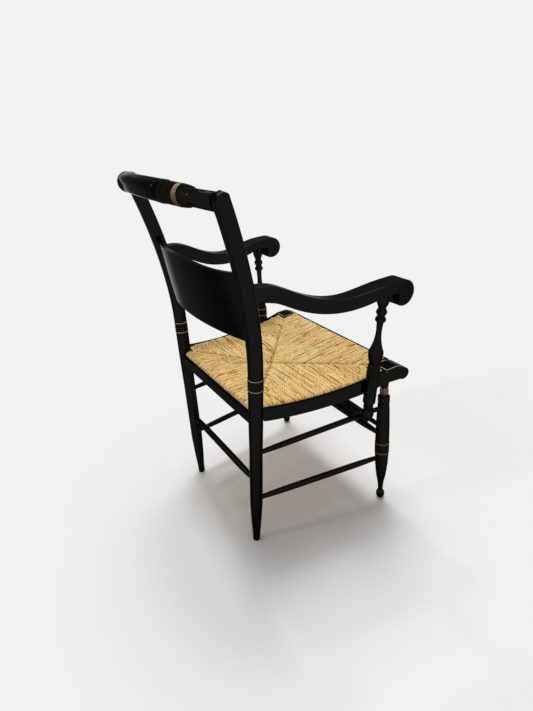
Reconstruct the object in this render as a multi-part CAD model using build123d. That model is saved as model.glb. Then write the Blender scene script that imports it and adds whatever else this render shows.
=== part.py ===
from build123d import *
import os
from math import hypot, sqrt

# Painted armchair with a woven rush seat, in millimetres.
# +Z is up, the front faces -Y and the sitter's right hand is at -X.
# Everything is drawn about the middle of the seat and moved once, at the end,
# so that the origin is on the floor under the middle of the overall box.

# ---- fits ----
FIT_GAP = 0.15            # round tenon to socket, on the radius
JOINT_GAP = 0.3           # between shaped faces that meet
END_PLAY = 0.5            # left at the bottom of a blind hole

# ---- stance: each leg's axis at the floor and at seat height ----
SEAT_HEIGHT = 414.0       # top of the front corner blocks
BACK_FOOT_X = 167.0
BACK_FOOT_Y = 195.0
BACK_SEAT_X = 197.0
BACK_SEAT_Y = 183.5
FRONT_FOOT_X = 236.0
FRONT_FOOT_Y = -171.0
FRONT_SEAT_X = 219.5
FRONT_SEAT_Y = -180.0

# ---- back posts ----
POST_HEIGHT = 882.0
BACK_RINGS_RISE = 46.5    # lowest gold ring above the seat
BACK_RINGS_LENGTH = 26.5
BACK_RINGS_LOW = SEAT_HEIGHT + BACK_RINGS_RISE
BACK_RINGS_HIGH = BACK_RINGS_LOW + BACK_RINGS_LENGTH
POST_TURNED_RISE = 11.0   # turned part above the highest ring
POST_TURNED_TOP = BACK_RINGS_HIGH + POST_TURNED_RISE   # bent and flattened above
POST_DIA = 34.0
POST_RISE_X = 238.5       # axis where the crest rail joins
POST_RISE_Y = 240.5
CREST_DROP = 20.0         # crest rail's axis below the posts' tops
CREST_HEIGHT = POST_HEIGHT - CREST_DROP
POST_BEND = 1.82          # power of the bend; 2 would be an even curve
POST_TOP_WIDTH = 27.5
POST_TOP_DEPTH = 30.0
POST_CORNER = 7.0
HEAD_RADIUS = 15.0        # rounding of the post's top, front to back
HEAD_CROWN = 18.0         # and from side to side
BACK_FOOT_DIA = 18.5
BACK_MIDDLE_DIA = 31.6
BACK_TAPER_HEIGHT = 134.0
RING_PROUD = 0.8
RING_GROOVE = 1.1

# ---- front legs ----
LEG_DIA = 37.0
LEG_RINGS_LOW = 154.0
LEG_RINGS_LENGTH = 29.5
LEG_RINGS_HIGH = LEG_RINGS_LOW + LEG_RINGS_LENGTH
LEG_TOP_DIA = 30.0
CUFF_DIA = 31.2
CUFF_DROP = 108.0         # cuff below the seat
CUFF_BOTTOM = SEAT_HEIGHT - CUFF_DROP
BALL_DIA = 23.0
BALL_RISE = 30.8          # gold ball above the cuff
BALL_HEIGHT = CUFF_BOTTOM + BALL_RISE
BALL_LENGTH = 22.6
LEG_NECK_DIA = 21.0
LEG_TENON_DIA = 20.0
LEG_TENON_LENGTH = 14.0
FOOT_BALL_DIA = 23.0
FOOT_BALL_HEIGHT = 13.0
FOOT_NECK_DIA = 13.6

# ---- front corner blocks ----
BLOCK_THICKNESS = 37.0
BLOCK_INNER_X = 200.0
BLOCK_REAR_Y = -157.0
BLOCK_ROUND_Y = -186.0    # the flat top ends here and falls to the nose
NOSE_Y = -210.8           # middle of the rolled nose
NOSE_DROP = 23.6          # and its depth below the top
NOSE_DIA = 32.0
NOSE_STEP = 10.8          # from the middle of the nose back to its step

# ---- painted strips around the seat ----
STRIP_THICKNESS = 8.0
STRIP_DEPTH = 33.0
SIDE_BACK_X = 211.5       # outer face of a side strip beside the back post
SIDE_BACK_Y = 175.0
SIDE_FRONT_X = 247.5      # and at the corner block
SIDE_BACK_DROP = 2.0      # back end of a side strip, below the blocks
SEAT_DIP = 17.0           # lowest point of a side strip, below the blocks
STRIP_ROUND = 7.0
BACK_STRIP_Y = 198.0
BACK_STRIP_DROP = 17.5    # top of the back strip, below the blocks
BACK_STRIP_TOP = SEAT_HEIGHT - BACK_STRIP_DROP
BACK_STRIP_DEPTH = 27.0
FRONT_STRIP_Y = -212.0
FRONT_STRIP_THICKNESS = 12.0
FRONT_STRIP_ROUND = 8.0

# ---- rush seat and the rails inside it ----
RUSH_GAP = 1.0            # rush to strips, blocks and posts
RUSH_CROWN = 2.0          # rush above the tops of the strips
RUSH_THICKNESS = 33.0
RUSH_WALL = 4.0           # rush outside the rails
RUSH_HOLLOW = 10.0        # extra dip in the middle
RUSH_BACK_DROP = 12.0     # back rail and the rush over it, below the front
RAIL_DIA = 18.0
SIDE_RAIL_THICKNESS = 12.0
SIDE_RAIL_DEPTH = 24.0
RAIL_TENON_DIA = 10.0
RAIL_TENON_LENGTH = 13.0
SIDE_TENON_LENGTH = 10.0

# ---- stretchers: height at each end, and thickness ----
SIDE_LOW_BACK = 140.0
SIDE_LOW_FRONT = 137.0
SIDE_HIGH_BACK_DROP = 133.0   # below the seat
SIDE_HIGH_FRONT_DROP = 124.0
SIDE_HIGH_BACK = SEAT_HEIGHT - SIDE_HIGH_BACK_DROP
SIDE_HIGH_FRONT = SEAT_HEIGHT - SIDE_HIGH_FRONT_DROP
BACK_STRETCHER_HEIGHT = 195.0
FRONT_HIGH_DROP = 186.0
FRONT_SPACING = 26.0          # between the two front stretchers
FRONT_HIGH_HEIGHT = SEAT_HEIGHT - FRONT_HIGH_DROP
FRONT_LOW_HEIGHT = FRONT_HIGH_HEIGHT - FRONT_SPACING
SIDE_LOW_DIA = 16.0
SIDE_HIGH_DIA = 14.8
BACK_STRETCHER_DIA = 17.0
FRONT_LOW_DIA = 20.0
FRONT_HIGH_DIA = 26.0
TENON_DIA = 12.0
TENON_PAST_AXIS = 3.0

# ---- crest rail ----
CREST_BOW = 62.0          # how far its middle stands behind its ends
CREST_RISE = 17.0
CREST_TURN_X = 198.0      # from here outwards its ends turn in to the posts' axes
CREST_END_HEIGHT = 36.0   # at the posts
CREST_END_THICKNESS = 28.0
CREST_END_X = 238.0
CREST_NECK_DIA = 32.5
CREST_COLLAR_DIA = 40.5   # small rings outside the gold band
CREST_BAND_DIA = 41.5
CREST_BAND_OUT = 162.0    # outer end of the gold band
CREST_BAND_IN = 150.0
CREST_RIDGE_DIA = 41.5    # three ridges inside the gold band
CREST_GROOVE_DIA = 38.0
CREST_RING_DIA = 43.5     # wide ring beside the flattened middle
PILLOW_HEIGHT = 41.0
PILLOW_THICKNESS = 32.0
PILLOW_HALF = 96.0
PILLOW_CORNER = 12.0
CREST_TENON_DIA = 14.0
CREST_TENON_X = 235.0
CREST_TENON_ROOT_X = 216.0

# ---- back slat ----
SLAT_RISE = 160.0         # lower edge above the seat
SLAT_DEPTH = 153.0
SLAT_BOTTOM = SEAT_HEIGHT + SLAT_RISE
SLAT_TOP = SLAT_BOTTOM + SLAT_DEPTH
SLAT_THICKNESS = 9.0
SLAT_BOW = 34.0
SLAT_DIP = 5.0            # of the top edge, halfway out on each side
SLAT_ARCH = 4.0           # of the bottom edge
SLAT_TENON_LENGTH = 9.0

# ---- arms ----
ARM_REAR_WIDTH = 30.0
ARM_FRONT_WIDTH = 48.0
ARM_FRONT_X = 268.8       # middle of the arm over its post
ARM_POST_Y = -116.0
ARM_RISE = 213.0          # flat underside over the arm post, above the seat
ARM_JOINT_RISE = 53.0     # joint with the back post, above that flat
ARM_REAR_RISE = 18.0      # top edge at the back post, above the joint
ARM_PAD_HEIGHT = SEAT_HEIGHT + ARM_RISE
ARM_JOINT_HEIGHT = ARM_PAD_HEIGHT + ARM_JOINT_RISE
ARM_REAR_TOP = ARM_JOINT_HEIGHT + ARM_REAR_RISE
ARM_REAR_THICKNESS = 33.0
ARM_HOLLOW_Y = -5.0
ARM_HOLLOW_RISE = 13.4    # lowest point of the top edge, above the flat
ARM_HOLLOW_TOP = ARM_PAD_HEIGHT + ARM_HOLLOW_RISE
ARM_HOLLOW_THICKNESS = 29.9
ARM_PAD_REAR_Y = -97.0
SCROLL_Y = -154.0
SCROLL_DIA = 58.5
SCROLL_RISE = 27.0        # top of the scroll above the flat
SCROLL_TOP = ARM_PAD_HEIGHT + SCROLL_RISE
SCROLL_STEP = 14.5        # from the middle of the scroll back to its step
ARM_SOFTENING = 3.0       # radius of the arm's edges

# ---- arm posts ----
ARM_POST_LEAN_X = 0.08    # sideways travel for each millimetre of height
ARM_POST_LEAN_Y = -0.038
DROP_REACH = 131.0        # drop's lower end below the seat
DROP_TIP = SEAT_HEIGHT - DROP_REACH
DROP_DIA = 30.0
ARM_POST_DIA = 31.0
VASE_DIA = 35.5
SPINDLE_DIA = 13.4
BEAD_DIA = 24.8
ARM_POST_HEAD_DIA = 28.0
ARM_TENON_DIA = 15.0
ARM_TENON_LENGTH = 14.0
ARM_SCREW_DROP = 28.0     # screw into the seat frame, below the seat
ARM_SCREW_HEIGHT = SEAT_HEIGHT - ARM_SCREW_DROP

# ---- fastenings ----
SCREW_HEAD_DIA = 9.0
SCREW_HEAD_LENGTH = 3.5
SCREW_SHANK_DIA = 4.5
ARM_SCREW_LENGTH = 48.0
POST_SCREW_LENGTH = 39.0
PLUG_DIA = 12.4
PLUG_PROUD = 2.4
PLUG_DEPTH = 5.0
NAIL_HEAD_DIA = 4.0
NAIL_HEAD_LENGTH = 1.0
NAIL_SHANK_DIA = 1.8
NAIL_LENGTH = 23.0
PIN_DIA = 3.0
PIN_LENGTH = 22.0

LEFT = 1
RIGHT = -1
SIDES = (("left", LEFT), ("right", RIGHT))
REACH = 200.0             # well past any one joint, for cutting shapes


# ---------------------------------------------------------------- tools

def handed(shape, side):
    """The shape as drawn for the left side, or its mirror image for the right."""
    return shape if side == LEFT else mirror(shape, about=Plane.YZ)


def spindle(steps, base, aim):
    """A piece turned about the line from base towards aim.  Each step is
    (distance along the line, radius); a third number bows the edge that leads to
    the step outwards by that much."""
    first, last = steps[0], steps[-1]
    edges = [Line((0, 0, first[0]), (first[1], 0, first[0]))]
    here = first
    for step in steps[1:]:
        start, end = (here[1], 0, here[0]), (step[1], 0, step[0])
        if len(step) == 3:
            middle = ((here[1] + step[1]) / 2 + step[2], 0, (here[0] + step[0]) / 2)
            edges.append(ThreePointArc(start, middle, end))
        else:
            edges.append(Line(start, end))
        here = step
    edges.append(Line((last[1], 0, last[0]), (0, 0, last[0])))
    edges.append(Line((0, 0, last[0]), (0, 0, first[0])))
    body = revolve(make_face(edges), axis=Axis.Z)
    return Plane(origin=base, z_dir=aim - base) * body


def upright(steps, foot, head):
    """A turned piece standing on foot, its steps given as heights above the foot."""
    slant = (head - foot).length / (head.Z - foot.Z)
    return spindle([(step[0] * slant, *step[1:]) for step in steps], foot, head)


def bar(start, end, dia):
    """A plain round bar from start to end."""
    return spindle([(0, dia / 2), ((end - start).length, dia / 2)], start, end)


def ring_steps(low, high, count, radius):
    """Outline steps for a row of beads from low to high with grooves between."""
    pitch = (high - low) / (count - 1)
    steps = []
    for ring in range(count):
        middle = low + ring * pitch
        steps.append((middle - pitch * 0.42, radius - RING_GROOVE))
        steps.append((middle - pitch * 0.28, radius))
        steps.append((middle + pitch * 0.28, radius, RING_PROUD))
        steps.append((middle + pitch * 0.42, radius - RING_GROOVE))
    return steps


def lifted(profile, near, far):
    """A face drawn on the side view (y, z), made solid between two x positions."""
    placed = Plane(origin=(near, 0, 0), x_dir=(0, 1, 0), z_dir=(1, 0, 0)) * profile
    return extrude(placed, amount=far - near, dir=(1, 0, 0))


def outline(*edges):
    """A face inside edges that follow one another."""
    return make_face([edge for edge in edges])


# ---------------------------------------------------------------- frame lines

def on_line(foot, head, height):
    """The point at a height on the straight line through foot and head."""
    return foot + (head - foot) * ((height - foot.Z) / (head.Z - foot.Z))


BACK_FOOT = Vector(BACK_FOOT_X, BACK_FOOT_Y, 0)
BACK_SEAT = Vector(BACK_SEAT_X, BACK_SEAT_Y, SEAT_HEIGHT)
FRONT_FOOT = Vector(FRONT_FOOT_X, FRONT_FOOT_Y, 0)
FRONT_SEAT = Vector(FRONT_SEAT_X, FRONT_SEAT_Y, SEAT_HEIGHT)


def back_leg(height):
    """A point on the left back leg's straight axis."""
    return on_line(BACK_FOOT, BACK_SEAT, height)


def front_leg(height):
    """A point on the left front leg's axis."""
    return on_line(FRONT_FOOT, FRONT_SEAT, height)


def back_post(height):
    """A point on the left back post's axis: straight, then bent out and back."""
    if height <= POST_TURNED_TOP:
        return back_leg(height)
    bend = Vector(POST_RISE_X, POST_RISE_Y, CREST_HEIGHT) - back_leg(CREST_HEIGHT)
    share = (height - POST_TURNED_TOP) / (CREST_HEIGHT - POST_TURNED_TOP)
    return back_leg(height) + bend * share ** POST_BEND


def post_direction(height):
    """The direction of the post's axis, upwards."""
    return (back_post(height) - back_post(height - 2)).normalized()


def arm_post(height):
    """A point on the left arm post's axis."""
    rise = height - ARM_PAD_HEIGHT
    return Vector(ARM_FRONT_X + rise * ARM_POST_LEAN_X,
                  ARM_POST_Y + rise * ARM_POST_LEAN_Y, height)


def crest_end_share(x):
    """0 along most of the crest rail, rising to 1 at the post's inner face."""
    face = POST_RISE_X - POST_TOP_WIDTH / 2
    return min(1.0, max(0.0, (abs(x) - CREST_TURN_X) / (face - CREST_TURN_X)))


def crest(x):
    """A point on the crest rail's bowed centre line."""
    radius = (POST_RISE_X ** 2 + CREST_BOW ** 2) / (2 * CREST_BOW)
    share = 1 - (radius - sqrt(radius ** 2 - x ** 2)) / CREST_BOW
    share = share * (1 - crest_end_share(x) ** 2)
    return Vector(x, POST_RISE_Y + CREST_BOW * share, CREST_HEIGHT + CREST_RISE * share)


def mirrored(point):
    """The same point on the other side of the chair."""
    return Vector(-point.X, point.Y, point.Z)


SIDE_LENGTH = hypot(SIDE_FRONT_X - SIDE_BACK_X, SIDE_BACK_Y - BLOCK_REAR_Y)
FORWARD = Vector(SIDE_FRONT_X - SIDE_BACK_X, BLOCK_REAR_Y - SIDE_BACK_Y, 0).normalized()
INWARD = Vector(FORWARD.Y, -FORWARD.X, 0)
SIDE_PLANE = Plane(origin=(SIDE_BACK_X, SIDE_BACK_Y, 0), x_dir=FORWARD, z_dir=INWARD)


def beside(distance, depth, height):
    """A point given by its distance forward along the left side strip's outer face,
    its depth inwards from that face and its height."""
    start = Vector(SIDE_BACK_X, SIDE_BACK_Y, height)
    return start + FORWARD * distance + INWARD * depth


# ---------------------------------------------------------------- stretchers

def rod_line(start, end):
    """The two far ends of a rod's tenons, a little past the legs' axes."""
    past = (end - start).normalized() * TENON_PAST_AXIS
    return start - past, end + past


def side_low():
    return rod_line(back_leg(SIDE_LOW_BACK), front_leg(SIDE_LOW_FRONT))


def side_high():
    return rod_line(back_leg(SIDE_HIGH_BACK), front_leg(SIDE_HIGH_FRONT))


def back_line():
    end = back_leg(BACK_STRETCHER_HEIGHT)
    return rod_line(mirrored(end), end)


def front_line(height):
    end = front_leg(height)
    return rod_line(mirrored(end), end)


def rod(line, dia):
    """A straight rod, thickest in the middle, with round tenons."""
    start, end = line
    length = (end - start).length
    hidden = TENON_PAST_AXIS + LEG_DIA / 2 + 1
    thin, thick = TENON_DIA / 2, dia / 2
    steps = [(0, thin), (hidden, thin), (length * 0.3, thick, (thick - thin) * 0.3),
             (length * 0.7, thick), (length - hidden, thin, (thick - thin) * 0.3),
             (length, thin)]
    return spindle(steps, start, end)


def turned_rod(line, dia):
    """The decorated front stretcher: long swellings between groups of rings."""
    start, end = line
    middle = (end - start).length / 2
    thin, thick = TENON_DIA / 2, dia / 2
    half = [(0, thick + 1.6), (7, thick + 1.6), (8, thick - 1.5), (11, thick - 1.5),
            (12, thick), (18, thick, 0.9), (19, thick - 2), (22, thick - 2),
            (40, thick + 0.2, 0.8), (120, thick + 0.4, 0.9), (156, thick - 1.5, 0.8),
            (157, thick - 3), (160, thick - 3), (161, thick - 1.2),
            (167, thick - 1.2, 0.9), (168, thick - 4), (172, thin + 1.0),
            (middle - TENON_PAST_AXIS - LEG_DIA / 2 - 1, thin), (middle, thin)]
    left = [(middle + step[0], *step[1:]) for step in half]
    right = []
    for place, step in enumerate(half[1:], 1):
        bow = step[2:]
        right.append((middle - half[place - 1][0], half[place - 1][1], *bow))
    right.append((0, thin))
    ordered = [(0, thin)] + right[-2::-1] + left[1:]
    return spindle(ordered, start, end)


def socket(line):
    """The holes for both tenons of one rod, as one long bar."""
    start, end = line
    play = (end - start).normalized() * END_PLAY
    return bar(start - play, end + play, TENON_DIA + 2 * FIT_GAP)


# ---------------------------------------------------------------- seat frame

def dipping(drop, depth, front_depth, outer, inner, grow=0.0):
    """A board along the left side of the seat between two depths inwards of the
    strips' outer face, its top a drop below the strips and dipping in the middle."""
    back, front = -grow, SIDE_LENGTH + 12
    top_back = SEAT_HEIGHT - SIDE_BACK_DROP - drop + grow
    top_middle = SEAT_HEIGHT - SEAT_DIP - drop + grow
    top_front = SEAT_HEIGHT - drop + grow
    grown = depth + 2 * grow
    top = ThreePointArc((back, top_back), (SIDE_LENGTH / 2, top_middle), (front, top_front))
    bottom = ThreePointArc((front, top_front - front_depth - 2 * grow),
                           (SIDE_LENGTH / 2, top_middle - grown), (back, top_back - grown))
    face = outline(top, Line(top @ 1, bottom @ 0), bottom, Line(bottom @ 1, top @ 0))
    placed = SIDE_PLANE * Pos(0, 0, outer) * face
    return extrude(placed, amount=inner - outer, dir=INWARD)


def behind_blocks(shape, gap=0.0):
    """The part of a shape behind the corner blocks' rear faces."""
    keep = BLOCK_REAR_Y + gap
    return shape & Pos(0, keep + 2 * REACH, SEAT_HEIGHT) * Box(
        5 * REACH, 4 * REACH, 2 * REACH)


def side_rail_depth():
    """How far the side rail's outer face is inside the strip's outer face."""
    return STRIP_THICKNESS + RUSH_GAP + RUSH_WALL


def side_rail_ends():
    """The axis of the side rail's tenons: the rear one passes above the back rail's
    tenon and the front one below the front rail's."""
    depth = side_rail_depth() + SIDE_RAIL_THICKNESS / 2
    top, half = SEAT_HEIGHT - RUSH_WALL, RAIL_TENON_DIA / 2
    return (beside(0, depth, top - SIDE_BACK_DROP - half - 3),
            beside(SIDE_LENGTH, depth, top - SIDE_RAIL_DEPTH + half + 0.5))


def rail_tenon(grow=0.0):
    """The side rail's two round tenons: one at the post, one at the block."""
    back, front = side_rail_ends()
    dia = RAIL_TENON_DIA + 2 * grow
    play = END_PLAY if grow else 0.0
    rear = bar(back + FORWARD * 14, back - FORWARD * (8 + play), dia)
    return rear + bar(front - FORWARD * 10, front + FORWARD * (SIDE_TENON_LENGTH + play), dia)


def side_rail():
    """The sawn side rail hidden in the rush."""
    depth = side_rail_depth()
    board = dipping(RUSH_WALL, SIDE_RAIL_DEPTH, SIDE_RAIL_DEPTH, depth,
                    depth + SIDE_RAIL_THICKNESS)
    board = behind_blocks(board, JOINT_GAP) - back_leg_blank(JOINT_GAP)
    return largest(board) + rail_tenon()


def rail_height():
    """The height of the front rail's axis; the back rail is RUSH_BACK_DROP lower."""
    return SEAT_HEIGHT - RUSH_WALL - RAIL_DIA / 2


def rail_line(y, x, length, height):
    """The ends of a round rail across the seat, tenons included."""
    return Vector(-x - length, y, height), Vector(x + length, y, height)


def front_rail_line():
    y = FRONT_STRIP_Y + FRONT_STRIP_THICKNESS + RUSH_GAP + RUSH_WALL + RAIL_DIA / 2
    return rail_line(y, BLOCK_INNER_X, RAIL_TENON_LENGTH, rail_height())


def back_rail_line():
    y = BACK_STRIP_Y - STRIP_THICKNESS - RUSH_GAP - RUSH_WALL - RAIL_DIA / 2
    return rail_line(y, BACK_SEAT_X - POST_DIA / 2, RAIL_TENON_LENGTH + 4,
                     rail_height() - RUSH_BACK_DROP)


def round_rail(line, hidden):
    """A round rail across the seat, stepped down to a tenon at each end."""
    start, end = line
    length = (end - start).length
    thin = RAIL_TENON_DIA / 2
    thick = RAIL_DIA / 2
    steps = [(0, thin), (hidden, thin), (hidden + 12, thick),
             (length - hidden - 12, thick), (length - hidden, thin), (length, thin)]
    return spindle(steps, start, end)


def rail_socket(line):
    """The holes for a round rail's tenons."""
    start, end = line
    play = (end - start).normalized() * END_PLAY
    return bar(start - play, end + play, RAIL_TENON_DIA + 2 * FIT_GAP)


def side_strip():
    """The painted strip along the left side of the seat."""
    front_depth = BLOCK_THICKNESS
    board = dipping(0, STRIP_DEPTH, front_depth, 0, STRIP_THICKNESS)
    corners = board.edges().filter_by(Axis((0, 0, 0), INWARD)).group_by(Axis.Y)[-1]
    board = fillet(corners, STRIP_ROUND)
    return largest(behind_blocks(board) - back_leg_blank(JOINT_GAP))


def back_strip():
    """The painted strip across the back of the seat, between the posts."""
    width = 2 * BACK_SEAT_X
    face = Pos(0, BACK_STRIP_TOP - BACK_STRIP_DEPTH / 2) * Rectangle(width, BACK_STRIP_DEPTH)
    board = extrude(Plane(origin=(0, BACK_STRIP_Y, 0), x_dir=(1, 0, 0), z_dir=(0, -1, 0))
                    * face, amount=STRIP_THICKNESS)
    cut = back_leg_blank(JOINT_GAP)
    return largest(board - cut - mirror(cut, about=Plane.YZ))


def front_strip():
    """The strip across the front, between the corner blocks, its front edges rounded."""
    front, rear = FRONT_STRIP_Y, FRONT_STRIP_Y + FRONT_STRIP_THICKNESS
    high, low = SEAT_HEIGHT - 1, SEAT_HEIGHT - STRIP_DEPTH - 1
    near, bulge = FRONT_STRIP_ROUND, FRONT_STRIP_ROUND * (1 - sqrt(0.5))
    face = outline(Line((rear, low), (front + near, low)),
                   ThreePointArc((front + near, low), (front + bulge, low + bulge),
                                 (front, low + near)),
                   Line((front, low + near), (front, high - near)),
                   ThreePointArc((front, high - near), (front + bulge, high - bulge),
                                 (front + near, high)),
                   Line((front + near, high), (rear, high)), Line((rear, high), (rear, low)))
    return lifted(face, -BLOCK_INNER_X, BLOCK_INNER_X)


def rush_top(x, y, front, back):
    """The height of the rush's top: four panels that fall towards the middle."""
    middle, half = (front + back) / 2, (back - front) / 2
    rim = SEAT_HEIGHT + RUSH_CROWN
    centre = rim - SEAT_DIP - RUSH_HOLLOW
    share = max(abs(x) / BLOCK_INNER_X, abs(y - middle) / half, 0.001)
    along = (y - middle) / half / share
    edge = rim - SEAT_DIP * max(0.0, 1 - along ** 2) - RUSH_BACK_DROP * max(0.0, along) ** 4
    return centre + (edge - centre) * share


def rush_blank():
    """The rush before it is cut around its frame."""
    front = FRONT_STRIP_Y + FRONT_STRIP_THICKNESS + RUSH_GAP
    back = BACK_STRIP_Y - STRIP_THICKNESS - RUSH_GAP
    middle = (front + back) / 2
    rim = SEAT_HEIGHT + RUSH_CROWN
    dip = rim - SEAT_DIP
    high = Line((back, rim + REACH / 4), (front, rim + REACH / 4))
    bottom = ThreePointArc((front, rim - RUSH_THICKNESS), (middle, dip - RUSH_THICKNESS),
                           (back, rim - RUSH_BACK_DROP - RUSH_THICKNESS))
    face = outline(high, Line(high @ 1, bottom @ 0), bottom, Line(bottom @ 1, high @ 0))
    body = lifted(face, -SIDE_FRONT_X, SIDE_FRONT_X)
    count = 15
    reach_x, reach_y = SIDE_FRONT_X + 5, (back - front) / 2 + 5
    grid = []
    for column in range(count + 1):
        x = reach_x * (2 * column / count - 1)
        row = [middle + reach_y * (2 * place / count - 1) for place in range(count + 1)]
        grid.append([Vector(x, y, rush_top(x, y, front, back)) for y in row])
    cover = extrude(Face.make_surface_from_array_of_points(grid), amount=REACH, dir=(0, 0, 1))
    return body - cover


def rush_seat():
    """The woven rush, wrapped around its four rails."""
    body = rush_blank()
    for side in (LEFT, RIGHT):
        outside = dipping(0, STRIP_DEPTH, STRIP_DEPTH, STRIP_THICKNESS + RUSH_GAP,
                          -REACH / 2, REACH / 4)
        depth = side_rail_depth()
        rail = dipping(RUSH_WALL - JOINT_GAP, SIDE_RAIL_DEPTH + 2 * JOINT_GAP,
                       SIDE_RAIL_DEPTH + 2 * JOINT_GAP, depth - JOINT_GAP,
                       depth + SIDE_RAIL_THICKNESS + JOINT_GAP)
        block = Pos((BLOCK_INNER_X - RUSH_GAP) + REACH / 2, BLOCK_REAR_Y + RUSH_GAP - REACH / 2,
                    SEAT_HEIGHT) * Box(REACH, REACH, REACH)
        for cut in (outside, rail, block, back_leg_blank(RUSH_GAP)):
            body = body - handed(cut, side)
    for line in (front_rail_line(), back_rail_line()):
        body = body - bar(*line, RAIL_DIA + 2 * JOINT_GAP)
    return largest(body)


# ---------------------------------------------------------------- corner blocks

def seat_block():
    """The left front corner block: its top falls in a curve to a rolled nose, and its
    outer side is in line with the side strip."""
    top, bottom = SEAT_HEIGHT, SEAT_HEIGHT - BLOCK_THICKNESS
    radius = NOSE_DIA / 2
    middle = top - NOSE_DROP
    step_y = NOSE_Y + NOSE_STEP
    step_z = middle - sqrt(radius ** 2 - NOSE_STEP ** 2)
    brow = (NOSE_Y - radius * 0.342, middle + radius * 0.94)
    fall = Spline(brow, (BLOCK_ROUND_Y, top), tangents=((0.94, 0.342), (1, 0)))
    face = outline(Line((BLOCK_REAR_Y, bottom), (step_y, bottom)),
                   Line((step_y, bottom), (step_y, step_z)),
                   ThreePointArc((step_y, step_z), (NOSE_Y - radius, middle), brow),
                   fall, Line((BLOCK_ROUND_Y, top), (BLOCK_REAR_Y, top)),
                   Line((BLOCK_REAR_Y, top), (BLOCK_REAR_Y, bottom)))
    block = lifted(face, BLOCK_INNER_X, SIDE_FRONT_X + REACH / 4)
    outside = SIDE_PLANE * Pos(SIDE_LENGTH, 0, -REACH / 2) * Box(4 * REACH, 6 * REACH, REACH)
    block = block - outside
    return block - leg_tenon(FIT_GAP) - rail_tenon(FIT_GAP) - rail_socket(front_rail_line())


# ---------------------------------------------------------------- legs and posts

def leg_tenon(grow=0.0):
    """The round tenon on top of the left front leg."""
    under = SEAT_HEIGHT - BLOCK_THICKNESS
    play = END_PLAY if grow else 0.0
    return bar(front_leg(under - 2), front_leg(under + LEG_TENON_LENGTH + play),
               LEG_TENON_DIA + 2 * grow)


def above_floor(shape):
    """The part of a shape above the floor."""
    return shape - Pos(0, 0, -REACH / 2) * Box(5 * REACH, 5 * REACH, REACH)


def front_leg_shape():
    """The left front leg: ball foot, long taper, ring groups and gold ball."""
    full, foot = LEG_DIA / 2, FOOT_NECK_DIA / 2
    foot_end = 2 * FOOT_BALL_HEIGHT
    under = SEAT_HEIGHT - BLOCK_THICKNESS
    cuff = CUFF_DIA / 2
    low, high = BALL_HEIGHT - BALL_LENGTH / 2, BALL_HEIGHT + BALL_LENGTH / 2
    neck = LEG_NECK_DIA / 2
    steps = [(-2, 5.5), (0, 5.5), (foot_end, foot, FOOT_BALL_DIA / 2 - (5.5 + foot) / 2),
             (foot_end + 3, foot - 0.4), (45, foot + 0.8, 0.1), (70, foot + 5, -0.5),
             (LEG_RINGS_LOW - 48, full - 2.6, 0.4), (LEG_RINGS_LOW - 22, full - 0.8, 0.5),
             (LEG_RINGS_LOW - 5, full)]
    steps += ring_steps(LEG_RINGS_LOW, LEG_RINGS_HIGH, 5, full)
    steps += [(LEG_RINGS_HIGH + 5, full), (CUFF_BOTTOM - 4, LEG_TOP_DIA / 2, 0.8),
              (CUFF_BOTTOM - 2, cuff - 2.2), (CUFF_BOTTOM, cuff - 0.8),
              (CUFF_BOTTOM + 5, cuff - 0.8, 0.8), (CUFF_BOTTOM + 6, cuff - 1.4),
              (CUFF_BOTTOM + 7, cuff), (low - 3, cuff), (low - 1, cuff - 2),
              (low, neck - 1.2), (high, neck - 1.2, BALL_DIA / 2 - neck + 1.2),
              (high + 2, neck), (under - 2, LEG_TOP_DIA / 2, -1.0), (under + 2, LEG_TOP_DIA / 2)]
    leg = above_floor(upright(steps, FRONT_FOOT, FRONT_SEAT))
    leg = leg - Pos(0, 0, under + REACH / 2) * Box(5 * REACH, 5 * REACH, REACH)
    leg = leg + leg_tenon()
    for line in (side_low(), side_high(), front_line(FRONT_LOW_HEIGHT),
                 front_line(FRONT_HIGH_HEIGHT)):
        leg = leg - socket(line)
    return leg


def back_leg_blank(gap):
    """A plain round stand-in for the left post at seat height, for clearance."""
    low, high = SEAT_HEIGHT - 60, SEAT_HEIGHT + 30
    return bar(back_leg(low), back_leg(high), POST_DIA + 2 * gap)


def post_section(height, grow):
    """The flattened post's cross-section at a height."""
    rest = (POST_HEIGHT - height) / (POST_HEIGHT - POST_TURNED_TOP)
    round_end = POST_DIA - 0.4
    width = POST_TOP_WIDTH + (round_end - POST_TOP_WIDTH) * rest + 2 * grow
    depth = POST_TOP_DEPTH + (round_end - POST_TOP_DEPTH) * rest ** 3 + 2 * grow
    corner = POST_CORNER + (round_end / 2 - 0.1 - POST_CORNER) * rest ** 3 + grow
    place = Plane(origin=back_post(height), x_dir=(1, 0, 0), z_dir=post_direction(height))
    return place * RectangleRounded(width, depth, corner)


def bent_post(grow=0.0):
    """The bent, flattened upper part of the left post."""
    count = 9
    rise = POST_HEIGHT - POST_TURNED_TOP
    return loft([post_section(POST_TURNED_TOP + rise * place / count, grow)
                 for place in range(count + 1)])


def head_waste():
    """What is cut away to round the post's top both ways."""
    place = Plane(origin=back_post(POST_HEIGHT), x_dir=(1, 0, 0),
                  z_dir=post_direction(POST_HEIGHT))
    waste = []
    for radius, turn in ((HEAD_RADIUS, Rot(0, 90, 0)), (HEAD_CROWN, Rot(90, 0, 0))):
        block = Pos(0, 0, 5 - radius / 2) * Box(60, 60, radius + 10)
        waste.append(block - Pos(0, 0, -radius) * turn * Cylinder(radius, 80))
    return place * (waste[0] + waste[1])


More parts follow.
